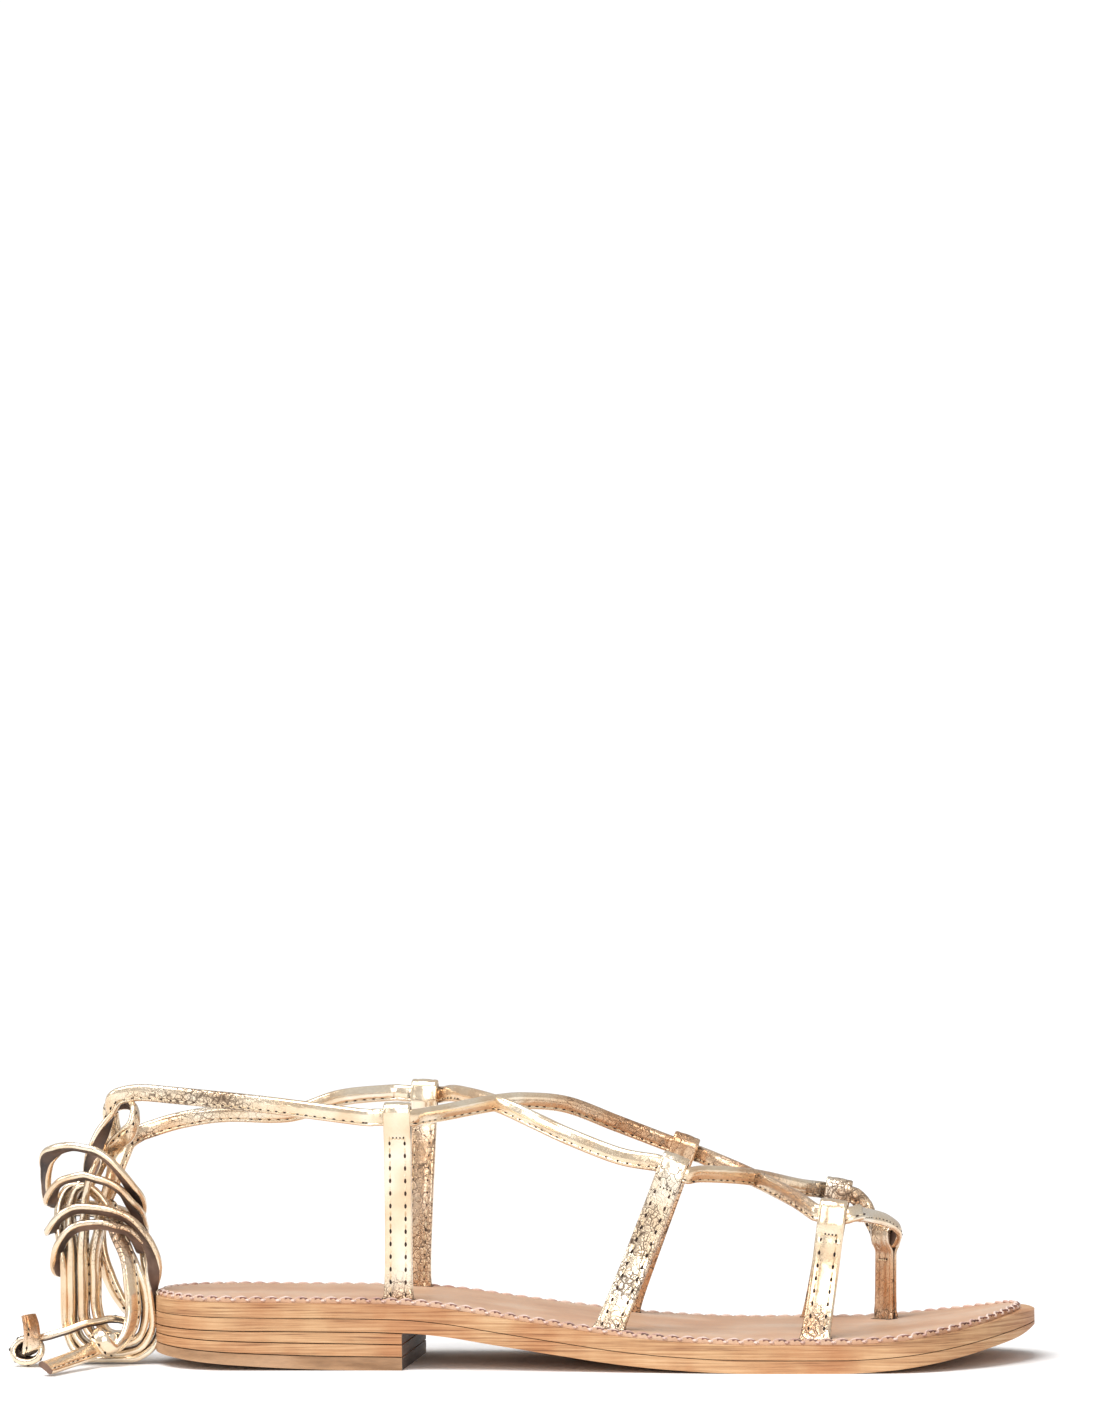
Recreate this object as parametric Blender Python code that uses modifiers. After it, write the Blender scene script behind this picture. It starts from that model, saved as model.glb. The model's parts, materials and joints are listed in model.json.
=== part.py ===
"""A right lace-up sandal: stacked flat sole, upright folded straps, one lacing and the laces' bundle.

+X is the toe, +Y the inner (medial) side and +Z up. The origin is on the floor, under the middle
of the sole. All sizes are in metres.
"""
import math

import bmesh
import bpy
from mathutils import Matrix, Vector

MM = 0.001

# Sole
LENGTH = 252 * MM
BALL_WIDTH = 82 * MM
WAIST_WIDTH = 56 * MM
HEEL_WIDTH = 55 * MM
HEEL_ROUND = 25 * MM
TOE_ROUND = 42 * MM
END_FLAT = 0.2 * MM
HEEL_HEIGHT = 10.6 * MM
HEEL_LENGTH = 74.5 * MM
TOE_SPRING = 8.3 * MM
OUTSOLE = 3.5 * MM
OUTSOLE_AT_TIP = 2.2 * MM
MIDSOLE = 4.1 * MM
INSOLE = 1.0 * MM
INSOLE_INSET = 0.8 * MM
EDGE_ROUND = 0.4 * MM
GLUE_LINE = 0.3 * MM
HEEL_ROLL = 2.0 * MM
HEEL_ROLL_LENGTH = 14 * MM
LIFT_SHARES = (0.34, 0.67)

# Straps: one folded band each, with the lace's tunnel at its top
STRAP_WIDTH = 7.7 * MM
STRAP_LEATHER = 1.3 * MM
STRAP_INSET = 4.0 * MM
SLOT_CLEARANCE = 0.4 * MM
TUNNEL_CLEARANCE = 0.4 * MM
TUNNEL_TAPER = 5 * MM
ANKLE_HEIGHT = 53 * MM
INSTEP_HEIGHT = 45 * MM
TOE_HEIGHT = 34 * MM
POST_HEIGHT = 23 * MM

# Lace
LACE_WIDTH = 5.5 * MM
LACE_THICKNESS = 2.0 * MM
LACE_STEP = 4.0 * MM
LACE_PAST_TUNNEL = 1.2 * MM
CORD_TUBE = 4.0 * MM
CORD_STEP = 5 * MM
BUNDLE_THICKNESS = 16 * MM
BUNDLE_Y = -5 * MM

# Plan of the sole: along it (share of the length, heel to toe), its middle's swing to the inner
# side (share of the ball's width), the named width that it follows and the share of that width
OUTLINE = (
    (0.00, 0.000, HEEL_WIDTH, 0.98),
    (0.13, 0.000, HEEL_WIDTH, 1.00),
    (0.24, 0.000, HEEL_WIDTH, 1.00),
    (0.34, -0.010, WAIST_WIDTH, 1.00),
    (0.48, -0.020, WAIST_WIDTH, 1.16),
    (0.62, -0.012, BALL_WIDTH, 0.93),
    (0.74, 0.000, BALL_WIDTH, 1.00),
    (0.86, 0.000, BALL_WIDTH, 1.00),
    (0.94, 0.035, BALL_WIDTH, 0.92),
    (1.00, 0.090, BALL_WIDTH, 0.82),
)

# Side of the sole: along it, the outsole's underside as a share of the heel's height and as a
# share of the toe spring
SIDE = (
    (0.00, 1.13, 0.0),
    (0.10, 1.07, 0.0),
    (0.26, 1.02, 0.0),
    (0.30, 0.99, 0.0),
    (0.34, 0.905, 0.0),
    (0.40, 0.69, 0.0),
    (0.47, 0.45, 0.0),
    (0.54, 0.22, 0.0),
    (0.60, 0.09, 0.0),
    (0.66, 0.015, 0.0),
    (0.69, 0.0, 0.0),
    (0.79, 0.0, 0.0),
    (0.82, 0.0, 0.04),
    (0.85, 0.0, 0.12),
    (0.88, 0.0, 0.24),
    (0.92, 0.0, 0.44),
    (0.96, 0.0, 0.71),
    (1.00, 0.0, 1.0),
)

# Straps: name, along the sole, side (+1 inner), the named height of its tunnel over the insole and
# the share of it, lean of the tunnel towards the toe (share of the height), how far the tunnel
# stands in from the foot of the strap (share of the ball's width), outward bow (share of height)
STRAPS = (
    ("ankle_strap_lateral", 0.290, -1, ANKLE_HEIGHT, 0.97, 0.015, -0.045, 0.02),
    ("ankle_strap_medial", 0.288, 1, ANKLE_HEIGHT, 1.05, 0.045, -0.045, 0.02),
    ("instep_strap_lateral", 0.528, -1, INSTEP_HEIGHT, 0.98, 0.415, 0.085, 0.05),
    ("instep_strap_medial", 0.526, 1, INSTEP_HEIGHT, 1.05, 0.392, 0.075, 0.05),
    ("toe_strap_lateral", 0.759, -1, TOE_HEIGHT, 1.00, 0.15, 0.11, 0.06),
    ("toe_strap_medial", 0.746, 1, TOE_HEIGHT, 1.07, 0.20, 0.055, 0.06),
)
POST_ALONG = 0.829
POST_ASIDE = 0.29
POST_LEAN = 0.02
POST_TURN = math.radians(-50)

# The lace's way through the tunnels, from the inner ankle round the toe post to the outer ankle
LACED = (
    "ankle_strap_medial", "instep_strap_lateral", "toe_strap_medial", "toe_post",
    "toe_strap_lateral", "instep_strap_medial", "ankle_strap_lateral",
)

# Points of the lacing from each tunnel to the next: share of the way, then how far ahead, to the
# inner side and above the straight line, each as a share of the ball's width
SPANS = (
    (
        (0.15, 0.0, -0.090, 0.044),
        (0.32, 0.0, -0.148, 0.054),
        (0.46, 0.0, -0.140, 0.035),
        (0.60, 0.0, -0.139, 0.016),
        (0.80, 0.0, -0.100, -0.002),
    ),
    (
        (0.20, 0.0, -0.070, 0.004),
        (0.48, 0.0, -0.055, 0.016),
        (0.75, 0.0, 0.030, 0.000),
    ),
    (
        (0.32, 0.039, 0.048, 0.000),
        (0.65, 0.010, 0.060, -0.013),
    ),
    (
        (0.18, 0.074, 0.010, 0.005),
        (0.33, 0.059, -0.009, 0.026),
        (0.62, 0.048, 0.004, 0.016),
        (0.86, 0.060, 0.000, 0.000),
        (0.95, 0.082, 0.000, -0.004),
    ),
    (
        (0.25, 0.0, -0.043, 0.000),
        (0.536, 0.0, 0.022, 0.004),
        (0.80, 0.0, 0.000, 0.006),
    ),
    (
        (0.25, 0.0, 0.118, 0.057),
        (0.42, 0.0, 0.139, 0.101),
        (0.56, 0.0, 0.141, 0.101),
        (0.67, 0.0, 0.141, 0.082),
        (0.85, 0.0, 0.066, 0.030),
    ),
)

# Routes of the laces' loose runs, by hand: forward, to the inner side and up, in millimetres. The
# two tails start at their ankle tunnels
MEDIAL_TAIL = ((-75, 20, 74.8), (-89, 14, 70.6), (-107, 8, 71), (-119, 4, 70), (-130.4, -1, 66.8))
LATERAL_TAIL = ((-81, -22, 73.6), (-111, -12, 76.5), (-126, -8, 78), (-135.2, -6, 77.6))
COILED_END = (
    (-154.9, -8.5, 9.6), (-157, -10, 7.0), (-159.8, -12, 4.0), (-163, -13.5, 3.4), (-165.5, -14, 6.4),
    (-164, -14, 10.2), (-161, -14, 13),
)
KNOTTED_END = ((-135.5, -15.4, 15), (-138.5, -17, 9.8), (-143, -18, 6), (-148, -19, 3.9), (-154.5, -20, 2.8))

# Outline of the bundle, seen from the outer side: forward and up, in millimetres
BUNDLE = (
    (-139, 79), (-136, 75), (-132, 69), (-130, 58), (-130, 44), (-128.5, 30), (-127.6, 14), (-131, 3),
    (-141, 0.6), (-150, 3), (-154, 12), (-155.5, 28), (-157, 42), (-158, 53), (-152, 63), (-145, 73),
)

# Round ends of the bundle: depth (share of half its thickness) and size of its outline there
BUNDLE_ENDS = ((-1.0, 0.80), (-0.85, 0.93), (-0.55, 1.0), (0.55, 1.0), (0.85, 0.93), (1.0, 0.80))

# Materials: base colour, roughness and metallic value
FINISHES = {
    "insole_leather": ((0.74, 0.50, 0.35), 0.55, 0.0),
    "stacked_leather": ((0.79, 0.49, 0.19), 0.5, 0.0),
    "heel_rubber": ((0.55, 0.33, 0.19), 0.75, 0.0),
    "gold_leather": ((0.82, 0.62, 0.38), 0.35, 0.8),
}


def rates(xs, ys):
    """Slopes at the points of a curve that passes them all and never overshoots."""
    steps = [(ys[i + 1] - ys[i]) / (xs[i + 1] - xs[i]) for i in range(len(xs) - 1)]
    slopes = [steps[0]]
    for left, right in zip(steps, steps[1:]):
        slopes.append(0.0 if left * right <= 0 else 2 * left * right / (left + right))
    slopes.append(steps[-1])
    return slopes


def table_curve(rows, column, scale=lambda row: 1.0):
    """A smooth function of the first column for one column of a table."""
    xs = [row[0] for row in rows]
    ys = [row[column] * scale(row) for row in rows]
    slopes = rates(xs, ys)

    def value(x):
        x = min(max(x, xs[0]), xs[-1])
        i = max(k for k in range(len(xs) - 1) if xs[k] <= x)
        width = xs[i + 1] - xs[i]
        t = (x - xs[i]) / width
        bend = t * t * (3 - 2 * t)
        return (
            ys[i] * (1 - bend) + ys[i + 1] * bend
            + width * (slopes[i] * t * (1 - t) ** 2 - slopes[i + 1] * t * t * (1 - t))
        )

    return value


swing = table_curve(OUTLINE, 1, lambda row: BALL_WIDTH)
full_width = table_curve(OUTLINE, 3, lambda row: row[2])
heel_rise = table_curve(SIDE, 1)
toe_rise = table_curve(SIDE, 2)


def share(x):
    """Forward place on the sole as a share of its length."""
    return x / LENGTH + 0.5


def rounding(distance, radius):
    """Share of the full width at a distance from a rounded end."""
    t = min((distance + END_FLAT) / radius, 1.0)
    return math.sqrt(1 - (1 - t) ** 2)


def half_width(x, inset=0.0):
    ends = rounding(LENGTH / 2 + x, HEEL_ROUND) * rounding(LENGTH / 2 - x, TOE_ROUND)
    return max(full_width(share(x)) / 2 * ends - inset, END_FLAT)


def middle(x):
    return swing(share(x))


def underside(x):
    return HEEL_HEIGHT * heel_rise(share(x)) + TOE_SPRING * toe_rise(share(x))


def outsole_top(x):
    return underside(x) + OUTSOLE + (OUTSOLE_AT_TIP - OUTSOLE) * toe_rise(share(x))


def midsole_low(x):
    return outsole_top(x) + GLUE_LINE


def midsole_top(x):
    return midsole_low(x) + MIDSOLE


def insole_low(x):
    return midsole_top(x) + GLUE_LINE


def insole_top(x):
    return insole_low(x) + INSOLE


def heel_level(k):
    """Height function of the joint between two heel pieces."""
    return lambda x: underside(x) * LIFT_SHARES[k]


def heel_tread(x):
    """Floor side of the heel: flat, rolled up a little at its back."""
    t = max(1 - (x + LENGTH / 2) / HEEL_ROLL_LENGTH, 0.0)
    return HEEL_ROLL * t * t


def whole_stations(count):
    """Sections from heel to toe, close together at both rounded ends."""
    return [-LENGTH / 2 * math.cos(math.pi * i / count) for i in range(count + 1)]


def heel_stations(count):
    """Sections from the heel's back to its front face."""
    return [-LENGTH / 2 + HEEL_LENGTH * (1 - math.cos(math.pi / 2 * i / count)) for i in range(count + 1)]


def finish_of(slot):
    material = bpy.data.materials.get(slot)
    if material is None:
        color, roughness, metallic = FINISHES[slot]
        material = bpy.data.materials.new(slot)
        material.use_nodes = True
        shader = material.node_tree.nodes["Principled BSDF"]
        shader.inputs["Base Color"].default_value = (*color, 1)
        shader.inputs["Roughness"].default_value = roughness
        shader.inputs["Metallic"].default_value = metallic
    return material


def add(name, data, slot, collection):
    obj = bpy.data.objects.new(name, data)
    obj.data.materials.append(finish_of(slot))
    collection.objects.link(obj)
    return obj


def loft(name, rings, slot, collection):
    """A closed solid through rings of the same number of points."""
    shape = bmesh.new()
    rows = [[shape.verts.new(point) for point in ring] for ring in rings]
    around = len(rows[0])
    for row, after in zip(rows, rows[1:]):
        for i in range(around):
            j = (i + 1) % around
            shape.faces.new((row[i], row[j], after[j], after[i]))
    shape.faces.new(rows[0])
    shape.faces.new(rows[-1])
    bmesh.ops.recalc_face_normals(shape, faces=shape.faces)
    mesh = bpy.data.meshes.new(name)
    shape.to_mesh(mesh)
    shape.free()
    return add(name, mesh, slot, collection)


def layer(name, stations, inset, low, high, slot, collection):
    """One layer of the sole between two height functions, inside the sole's outline."""
    rings = []
    for x in stations:
        half = half_width(x, inset)
        across = (middle(x) - half, middle(x) + half)
        x *= 1 - 2 * inset / LENGTH
        bottom = [Vector((x, y, low(x))) for y in across]
        top = [Vector((x, y, high(x))) for y in reversed(across)]
        rings.append(bottom + top)
    return loft(name, rings, slot, collection)


def round_edge(obj):
    rounded = obj.modifiers.new("edge", "BEVEL")
    rounded.width = EDGE_ROUND
    rounded.segments = 1
    rounded.limit_method = "ANGLE"
    rounded.angle_limit = math.radians(50)


class Strap:
    """Where a folded strap stands: its foot, its tunnel and its three directions."""

    def __init__(self, name, foot, tunnel, run, bow):
        self.name = name
        self.foot = foot
        self.tunnel = tunnel
        self.bow = bow
        self.up = (tunnel - foot).normalized()
        self.run = (run - run.dot(self.up) * self.up).normalized()
        self.out = self.up.cross(self.run)
        self.height = (tunnel - foot).length

    def matrix(self):
        """Local X across the leather, Y up the strap and Z along its tunnel."""
        turned = Matrix((self.out, self.up, self.run)).transposed().to_4x4()
        return Matrix.Translation(self.foot) @ turned


def side_strap(row):
    name, along, side, height, part, lean, inward, bow = row
    x = (along - 0.5) * LENGTH
    height *= part
    foot_y = middle(x) + side * (half_width(x, INSOLE_INSET) - STRAP_INSET)
    foot = Vector((x, foot_y, midsole_top(x) + GLUE_LINE))
    tunnel = Vector((x + lean * height, foot_y - side * inward * BALL_WIDTH, insole_top(x) + height))
    # out = up x run points to -Y for a run towards +X, so an outward bow is positive on that side
    return Strap(name, foot, tunnel, Vector((1, 0, 0)), -side * bow * height)


def post_strap():
    x = (POST_ALONG - 0.5) * LENGTH
    y = POST_ASIDE * BALL_WIDTH
    foot = Vector((x, y, midsole_top(x) + GLUE_LINE))
    tunnel = Vector((x + POST_LEAN * POST_HEIGHT, y, insole_top(x) + POST_HEIGHT))
    return Strap("toe_post", foot, tunnel, Vector((math.cos(POST_TURN), math.sin(POST_TURN), 0)), 0.0)


def arc(center, radius, start, end, steps):
    angles = [start + (end - start) * i / steps for i in range(steps + 1)]
    return [(radius * math.cos(angle), center + radius * math.sin(angle)) for angle in angles]


HOLE = LACE_THICKNESS / 2 + TUNNEL_CLEARANCE
HOLE_REACH = LACE_WIDTH / 2 + TUNNEL_CLEARANCE - HOLE


def strap_neck(strap):
    """Height on the strap where its two layers part for the tunnel."""
    return strap.height - HOLE_REACH - HOLE - TUNNEL_TAPER


def strap_sections(strap):
    """Outer outline and tunnel of a strap in its own plane, across and up."""
    outer = HOLE + STRAP_LEATHER
    low, high = strap.height - HOLE_REACH, strap.height + HOLE_REACH
    neck = strap_neck(strap)
    side = [(STRAP_LEATHER, neck * i / 4) for i in range(5)] + [(outer, low)]
    outline = side + arc(high, outer, 0, math.pi, 8) + [(-u, v) for u, v in reversed(side)]
    tunnel = arc(high, HOLE, 0, math.pi, 6) + arc(low, HOLE, math.pi, 2 * math.pi, 6)

    def bowed(u, v):
        t = min(v / neck, 1.0)
        return u + strap.bow * 4 * t * (1 - t), v

    return [bowed(u, v) for u, v in outline], tunnel


def flat_curve(name, outlines, thickness, slot, collection):
    """A flat closed curve with its holes, filled and extruded both ways."""
    curve = bpy.data.curves.new(name, "CURVE")
    curve.dimensions = "2D"
    curve.fill_mode = "BOTH"
    curve.extrude = thickness / 2
    for outline in outlines:
        spline = curve.splines.new("POLY")
        spline.points.add(len(outline) - 1)
        for point, (u, v) in zip(spline.points, outline):
            point.co = (u, v, 0, 1)
        spline.use_cyclic_u = True
    return add(name, curve, slot, collection)


def build_strap(strap, collection):
    """The folded band, its foot slanted to lie along the midsole."""
    flat = flat_curve(strap.name, strap_sections(strap), STRAP_WIDTH, "gold_leather", collection)
    mesh = bpy.data.meshes.new_from_object(flat.evaluated_get(bpy.context.evaluated_depsgraph_get()))
    bpy.data.objects.remove(flat)
    ahead, behind = (midsole_top(strap.foot.x + side * STRAP_WIDTH) for side in (1, -1))
    slope = (ahead - behind) / (2 * STRAP_WIDTH)
    level = Vector((-slope, 0, 1))
    neck = strap_neck(strap)
    shape = bmesh.new()
    shape.from_mesh(mesh)
    bmesh.ops.remove_doubles(shape, verts=shape.verts, dist=0.001 * MM)
    for vert in shape.verts:
        u, v, w = vert.co
        drop = (u * strap.out + w * strap.run).dot(level) / strap.up.dot(level)
        vert.co.y = v - drop * max(1 - v / neck, 0.0)
    shape.to_mesh(mesh)
    shape.free()
    obj = add(strap.name, mesh, "gold_leather", collection)
    obj.matrix_world = strap.matrix()


def cut_slot(insole, strap, cutters):
    """Cut a strap's slot through the insole."""
    bpy.ops.mesh.primitive_cube_add(size=1)
    cutter = bpy.context.object
    cutter.name = "slot_" + strap.name
    for owner in cutter.users_collection:
        owner.objects.unlink(cutter)
    cutters.objects.link(cutter)
    size = (2 * (STRAP_LEATHER + SLOT_CLEARANCE), 8 * INSOLE, STRAP_WIDTH + 2 * SLOT_CLEARANCE)
    cutter.matrix_world = strap.matrix() @ Matrix.Diagonal((*size, 1))
    cutter.hide_render = True
    cutter.display_type = "WIRE"
    cut = insole.modifiers.new(cutter.name, "BOOLEAN")
    cut.operation = "DIFFERENCE"
    cut.object = cutter


def places_along(points, step):
    """Places at about equal steps along a curve: the number of its span and the way along that."""
    places = []
    for i, (start, end) in enumerate(zip(points, points[1:])):
        pieces = max(round((end - start).length / step), 1)
        places += [(i, k / pieces) for k in range(pieces)]
    return places + [(len(points) - 2, 1.0)]


def on_curve(points, place):
    """A place on the smooth curve that passes all the points."""
    i, t = place
    padded = [2 * points[0] - points[1], *points, 2 * points[-1] - points[-2]]
    before, start, end, after = padded[i:i + 4]
    return 0.5 * (
        2 * start + (end - before) * t
        + (2 * before - 5 * start + 4 * end - after) * t * t
        + (3 * start - before - 3 * end + after) * t ** 3
    )


def smooth(points, step):
    return [on_curve(points, place) for place in places_along(points, step)]


def lacing_route(straps):
    """Points of the lace and the direction of its width at each, through all the tunnels."""
    reach = STRAP_WIDTH / 2 + LACE_PAST_TUNNEL
    turn = LACED.index("toe_post")
    points, widths = [], []
    for k, name in enumerate(LACED):
        strap = straps[name]
        forward = strap.run if k <= turn else -strap.run
        for shift in (-reach, -0.6 * reach, 0.0, 0.6 * reach, reach):
            points.append(strap.tunnel + shift * forward)
            widths.append(strap.up)
        if k < len(SPANS):
            following = straps[LACED[k + 1]]
            for part, ahead, inner, above in SPANS[k]:
                bend = Vector((ahead, inner, above)) * BALL_WIDTH
                points.append(strap.tunnel.lerp(following.tunnel, part) + bend)
                widths.append(strap.up.lerp(following.up, part))
    return points, widths


def lace_rings(points, widths):
    """Sections of the flat lace along its route."""
    places = places_along(points, LACE_STEP)
    centers = [on_curve(points, place) for place in places]
    ups = [on_curve(widths, place) for place in places]
    flat, wide = LACE_THICKNESS / 2, LACE_WIDTH / 2
    section = (
        (flat, -0.6 * wide), (flat, 0.6 * wide), (0.5 * flat, wide), (-0.5 * flat, wide),
        (-flat, 0.6 * wide), (-flat, -0.6 * wide), (-0.5 * flat, -wide), (0.5 * flat, -wide),
    )
    rings = []
    for k, (center, up) in enumerate(zip(centers, ups)):
        tangent = (centers[min(k + 1, len(centers) - 1)] - centers[max(k - 1, 0)]).normalized()
        up = (up - up.dot(tangent) * tangent).normalized()
        across = tangent.cross(up)
        rings.append([center + across * u + up * v for u, v in section])
    return rings


def build_lacing(straps, collection, cutters):
    """The lace from ankle to ankle: two swept halves, joined at the toe post and where they cross."""
    points, widths = lacing_route(straps)
    rings = lace_rings(points, widths)
    post = straps["toe_post"].tunnel
    near = min(range(len(rings)), key=lambda k: (rings[k][0].lerp(rings[k][1], 0.5) - post).length)
    lacing = loft("lacing", rings[:near + 2], "gold_leather", collection)
    second = loft("lacing_second_half", rings[near:], "gold_leather", cutters)
    second.hide_render = True
    second.display_type = "WIRE"
    union = lacing.modifiers.new("crossings", "BOOLEAN")
    union.operation = "UNION"
    union.object = second


def tail_start(strap):
    """The first points of a loose run, straight back from the end of the lacing in its tunnel."""
    back = STRAP_WIDTH / 2 + LACE_PAST_TUNNEL + GLUE_LINE
    return [strap.tunnel - (back + further) * strap.run for further in (0, CORD_STEP)]


def build_tube(name, route, collection, start=()):
    """A loose run of lace as a plain tube."""
    points = smooth([*start, *(Vector(point) * MM for point in route)], CORD_STEP)
    curve = bpy.data.curves.new(name, "CURVE")
    curve.dimensions = "3D"
    curve.bevel_depth = CORD_TUBE / 2
    curve.bevel_resolution = 2
    curve.use_fill_caps = True
    curve.render_resolution_u = 0
    spline = curve.splines.new("POLY")
    spline.points.add(len(points) - 1)
    for knot, point in zip(spline.points, points):
        knot.co = (*point, 1)
    add(name, curve, "gold_leather", collection)


def build_bundle(collection):
    """The laces' hank as one solid of its outline with round ends."""
    corners = [Vector((x, z)) * MM for x, z in BUNDLE]
    closed = [corners[-1], *corners, corners[0], corners[1]]
    round_places = [(i, t) for i, t in places_along(closed, CORD_STEP) if 1 <= i <= len(corners)]
    outline = [on_curve(closed, place) for place in round_places]
    center = sum(outline, Vector((0, 0))) / len(outline)
    rings = []
    for depth, size in BUNDLE_ENDS:
        ring = [center + (point - center) * size for point in outline]
        rings.append([Vector((x, BUNDLE_Y + depth * BUNDLE_THICKNESS / 2, z)) for x, z in ring])
    loft("lace_bundle", rings, "gold_leather", collection)


def main():
    for obj in list(bpy.data.objects):
        bpy.data.objects.remove(obj)
    sandal = bpy.data.collections.new("gladiator_sandal")
    cutters = bpy.data.collections.new("cutters")
    bpy.context.scene.collection.children.link(sandal)
    bpy.context.scene.collection.children.link(cutters)

    whole, heel = whole_stations(40), heel_stations(12)
    round_edge(layer("outsole", whole, 0, underside, outsole_top, "stacked_leather", sandal))
    round_edge(layer("midsole", whole, 0, midsole_low, midsole_top, "stacked_leather", sandal))
    insole = layer("insole", whole, INSOLE_INSET, insole_low, insole_top, "insole_leather", sandal)
    layer("heel_top_piece", heel, 0, heel_tread, heel_level(0), "heel_rubber", sandal)
    layer("heel_lift_lower", heel, 0, lambda x: heel_level(0)(x) + GLUE_LINE, heel_level(1),
          "stacked_leather", sandal)
    layer("heel_lift_upper", heel, 0, lambda x: heel_level(1)(x) + GLUE_LINE,
          lambda x: underside(x) - GLUE_LINE, "stacked_leather", sandal)

    straps = {strap.name: strap for strap in [side_strap(row) for row in STRAPS] + [post_strap()]}
    for strap in straps.values():
        build_strap(strap, sandal)
        cut_slot(insole, strap, cutters)
    build_lacing(straps, sandal, cutters)

    build_tube("lace_tail_medial", MEDIAL_TAIL, sandal, tail_start(straps["ankle_strap_medial"]))
    build_tube("lace_tail_lateral", LATERAL_TAIL, sandal, tail_start(straps["ankle_strap_lateral"]))
    build_bundle(sandal)
    build_tube("lace_end_coiled", COILED_END, sandal)
    build_tube("lace_end_knotted", KNOTTED_END, sandal)


main()
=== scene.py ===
"""Looks of a right lace-up sandal: gold straps and laces on a flat stacked-leather sole.

+X is the toe, +Y the inner side and +Z up, all in metres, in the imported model's frame.
"""
import json
import math

import bmesh
import bpy
from mathutils import Matrix, Vector

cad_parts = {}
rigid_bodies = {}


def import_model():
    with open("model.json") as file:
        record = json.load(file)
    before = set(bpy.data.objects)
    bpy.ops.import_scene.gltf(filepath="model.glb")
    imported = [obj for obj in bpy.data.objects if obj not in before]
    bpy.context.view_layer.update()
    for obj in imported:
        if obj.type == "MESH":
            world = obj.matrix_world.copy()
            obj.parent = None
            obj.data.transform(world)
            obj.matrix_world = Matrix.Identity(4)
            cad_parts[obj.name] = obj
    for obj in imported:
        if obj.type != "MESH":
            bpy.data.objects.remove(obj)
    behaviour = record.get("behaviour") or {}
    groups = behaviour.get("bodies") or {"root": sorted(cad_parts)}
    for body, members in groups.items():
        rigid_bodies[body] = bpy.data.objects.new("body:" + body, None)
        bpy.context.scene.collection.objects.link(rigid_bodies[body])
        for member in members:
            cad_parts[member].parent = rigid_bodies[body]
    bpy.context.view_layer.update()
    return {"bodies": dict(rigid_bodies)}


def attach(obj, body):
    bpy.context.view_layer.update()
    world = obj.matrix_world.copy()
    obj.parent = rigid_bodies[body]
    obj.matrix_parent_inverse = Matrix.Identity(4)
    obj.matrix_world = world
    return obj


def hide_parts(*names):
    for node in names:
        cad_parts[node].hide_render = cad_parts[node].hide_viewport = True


MM = 0.001
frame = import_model()

# Sole, as in the part's source
LENGTH = 252 * MM
BALL_WIDTH = 82 * MM
WAIST_WIDTH = 56 * MM
HEEL_WIDTH = 55 * MM
HEEL_ROUND = 25 * MM
TOE_ROUND = 42 * MM
END_FLAT = 0.2 * MM
HEEL_HEIGHT = 10.6 * MM
HEEL_LENGTH = 74.5 * MM
TOE_SPRING = 8.3 * MM
OUTSOLE = 3.5 * MM
OUTSOLE_AT_TIP = 2.2 * MM
MIDSOLE = 4.1 * MM
INSOLE = 1.0 * MM
INSOLE_INSET = 0.8 * MM
GLUE_LINE = 0.3 * MM
# Forms that only the scene shows: the tread's curve up to the back of the heel, the shares of the
# heel at the tops of its tread piece and first lift, the rolled toe tip and its wider margin
HEEL_ROLL = 4.0 * MM
HEEL_ROLL_LENGTH = 70 * MM
LIFT_SHARES = (0.34, 0.67)
TIP_ROLL = 1.4 * MM
TIP_FALL = 1.2 * MM
TIP_ROLL_LENGTH = 6 * MM
TOE_MARGIN = 3.5 * MM
TOE_MARGIN_FROM = 0.25 * LENGTH
# Plan: share of the length, swing (share of the ball's width), the width that it follows and its share
OUTLINE = (
    (0.00, 0.000, HEEL_WIDTH, 0.98), (0.13, 0.000, HEEL_WIDTH, 1.00), (0.24, 0.000, HEEL_WIDTH, 1.00),
    (0.34, -0.010, WAIST_WIDTH, 1.00), (0.48, -0.020, WAIST_WIDTH, 1.16), (0.62, -0.012, BALL_WIDTH, 0.93),
    (0.74, 0.000, BALL_WIDTH, 1.00), (0.86, 0.000, BALL_WIDTH, 1.00), (0.94, 0.035, BALL_WIDTH, 0.92),
    (1.00, 0.090, BALL_WIDTH, 0.82),
)
# Side: share of the length, and shares of the heel's height and of the toe spring there
SIDE = (
    (0.00, 1.13, 0.0), (0.10, 1.07, 0.0), (0.26, 1.02, 0.0), (0.30, 0.99, 0.0), (0.34, 0.905, 0.0),
    (0.40, 0.69, 0.0), (0.47, 0.45, 0.0), (0.54, 0.22, 0.0), (0.60, 0.09, 0.0), (0.66, 0.015, 0.0),
    (0.69, 0.0, 0.0), (0.79, 0.0, 0.0), (0.82, 0.0, 0.04), (0.85, 0.0, 0.12), (0.88, 0.0, 0.24),
    (0.92, 0.0, 0.44), (0.96, 0.0, 0.71), (1.00, 0.0, 1.0),
)

# Straps: name, along the sole, side (+1 inner), height of the tunnel over the insole, lean towards
# the toe (share of the height), step inwards (share of the ball's width), outward bow (share of height)
STRAP_WIDTH = 7.7 * MM
STRAP_LEATHER = 1.3 * MM
STRAP_INSET = 4.0 * MM
TUNNEL_CLEARANCE = 0.4 * MM
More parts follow.
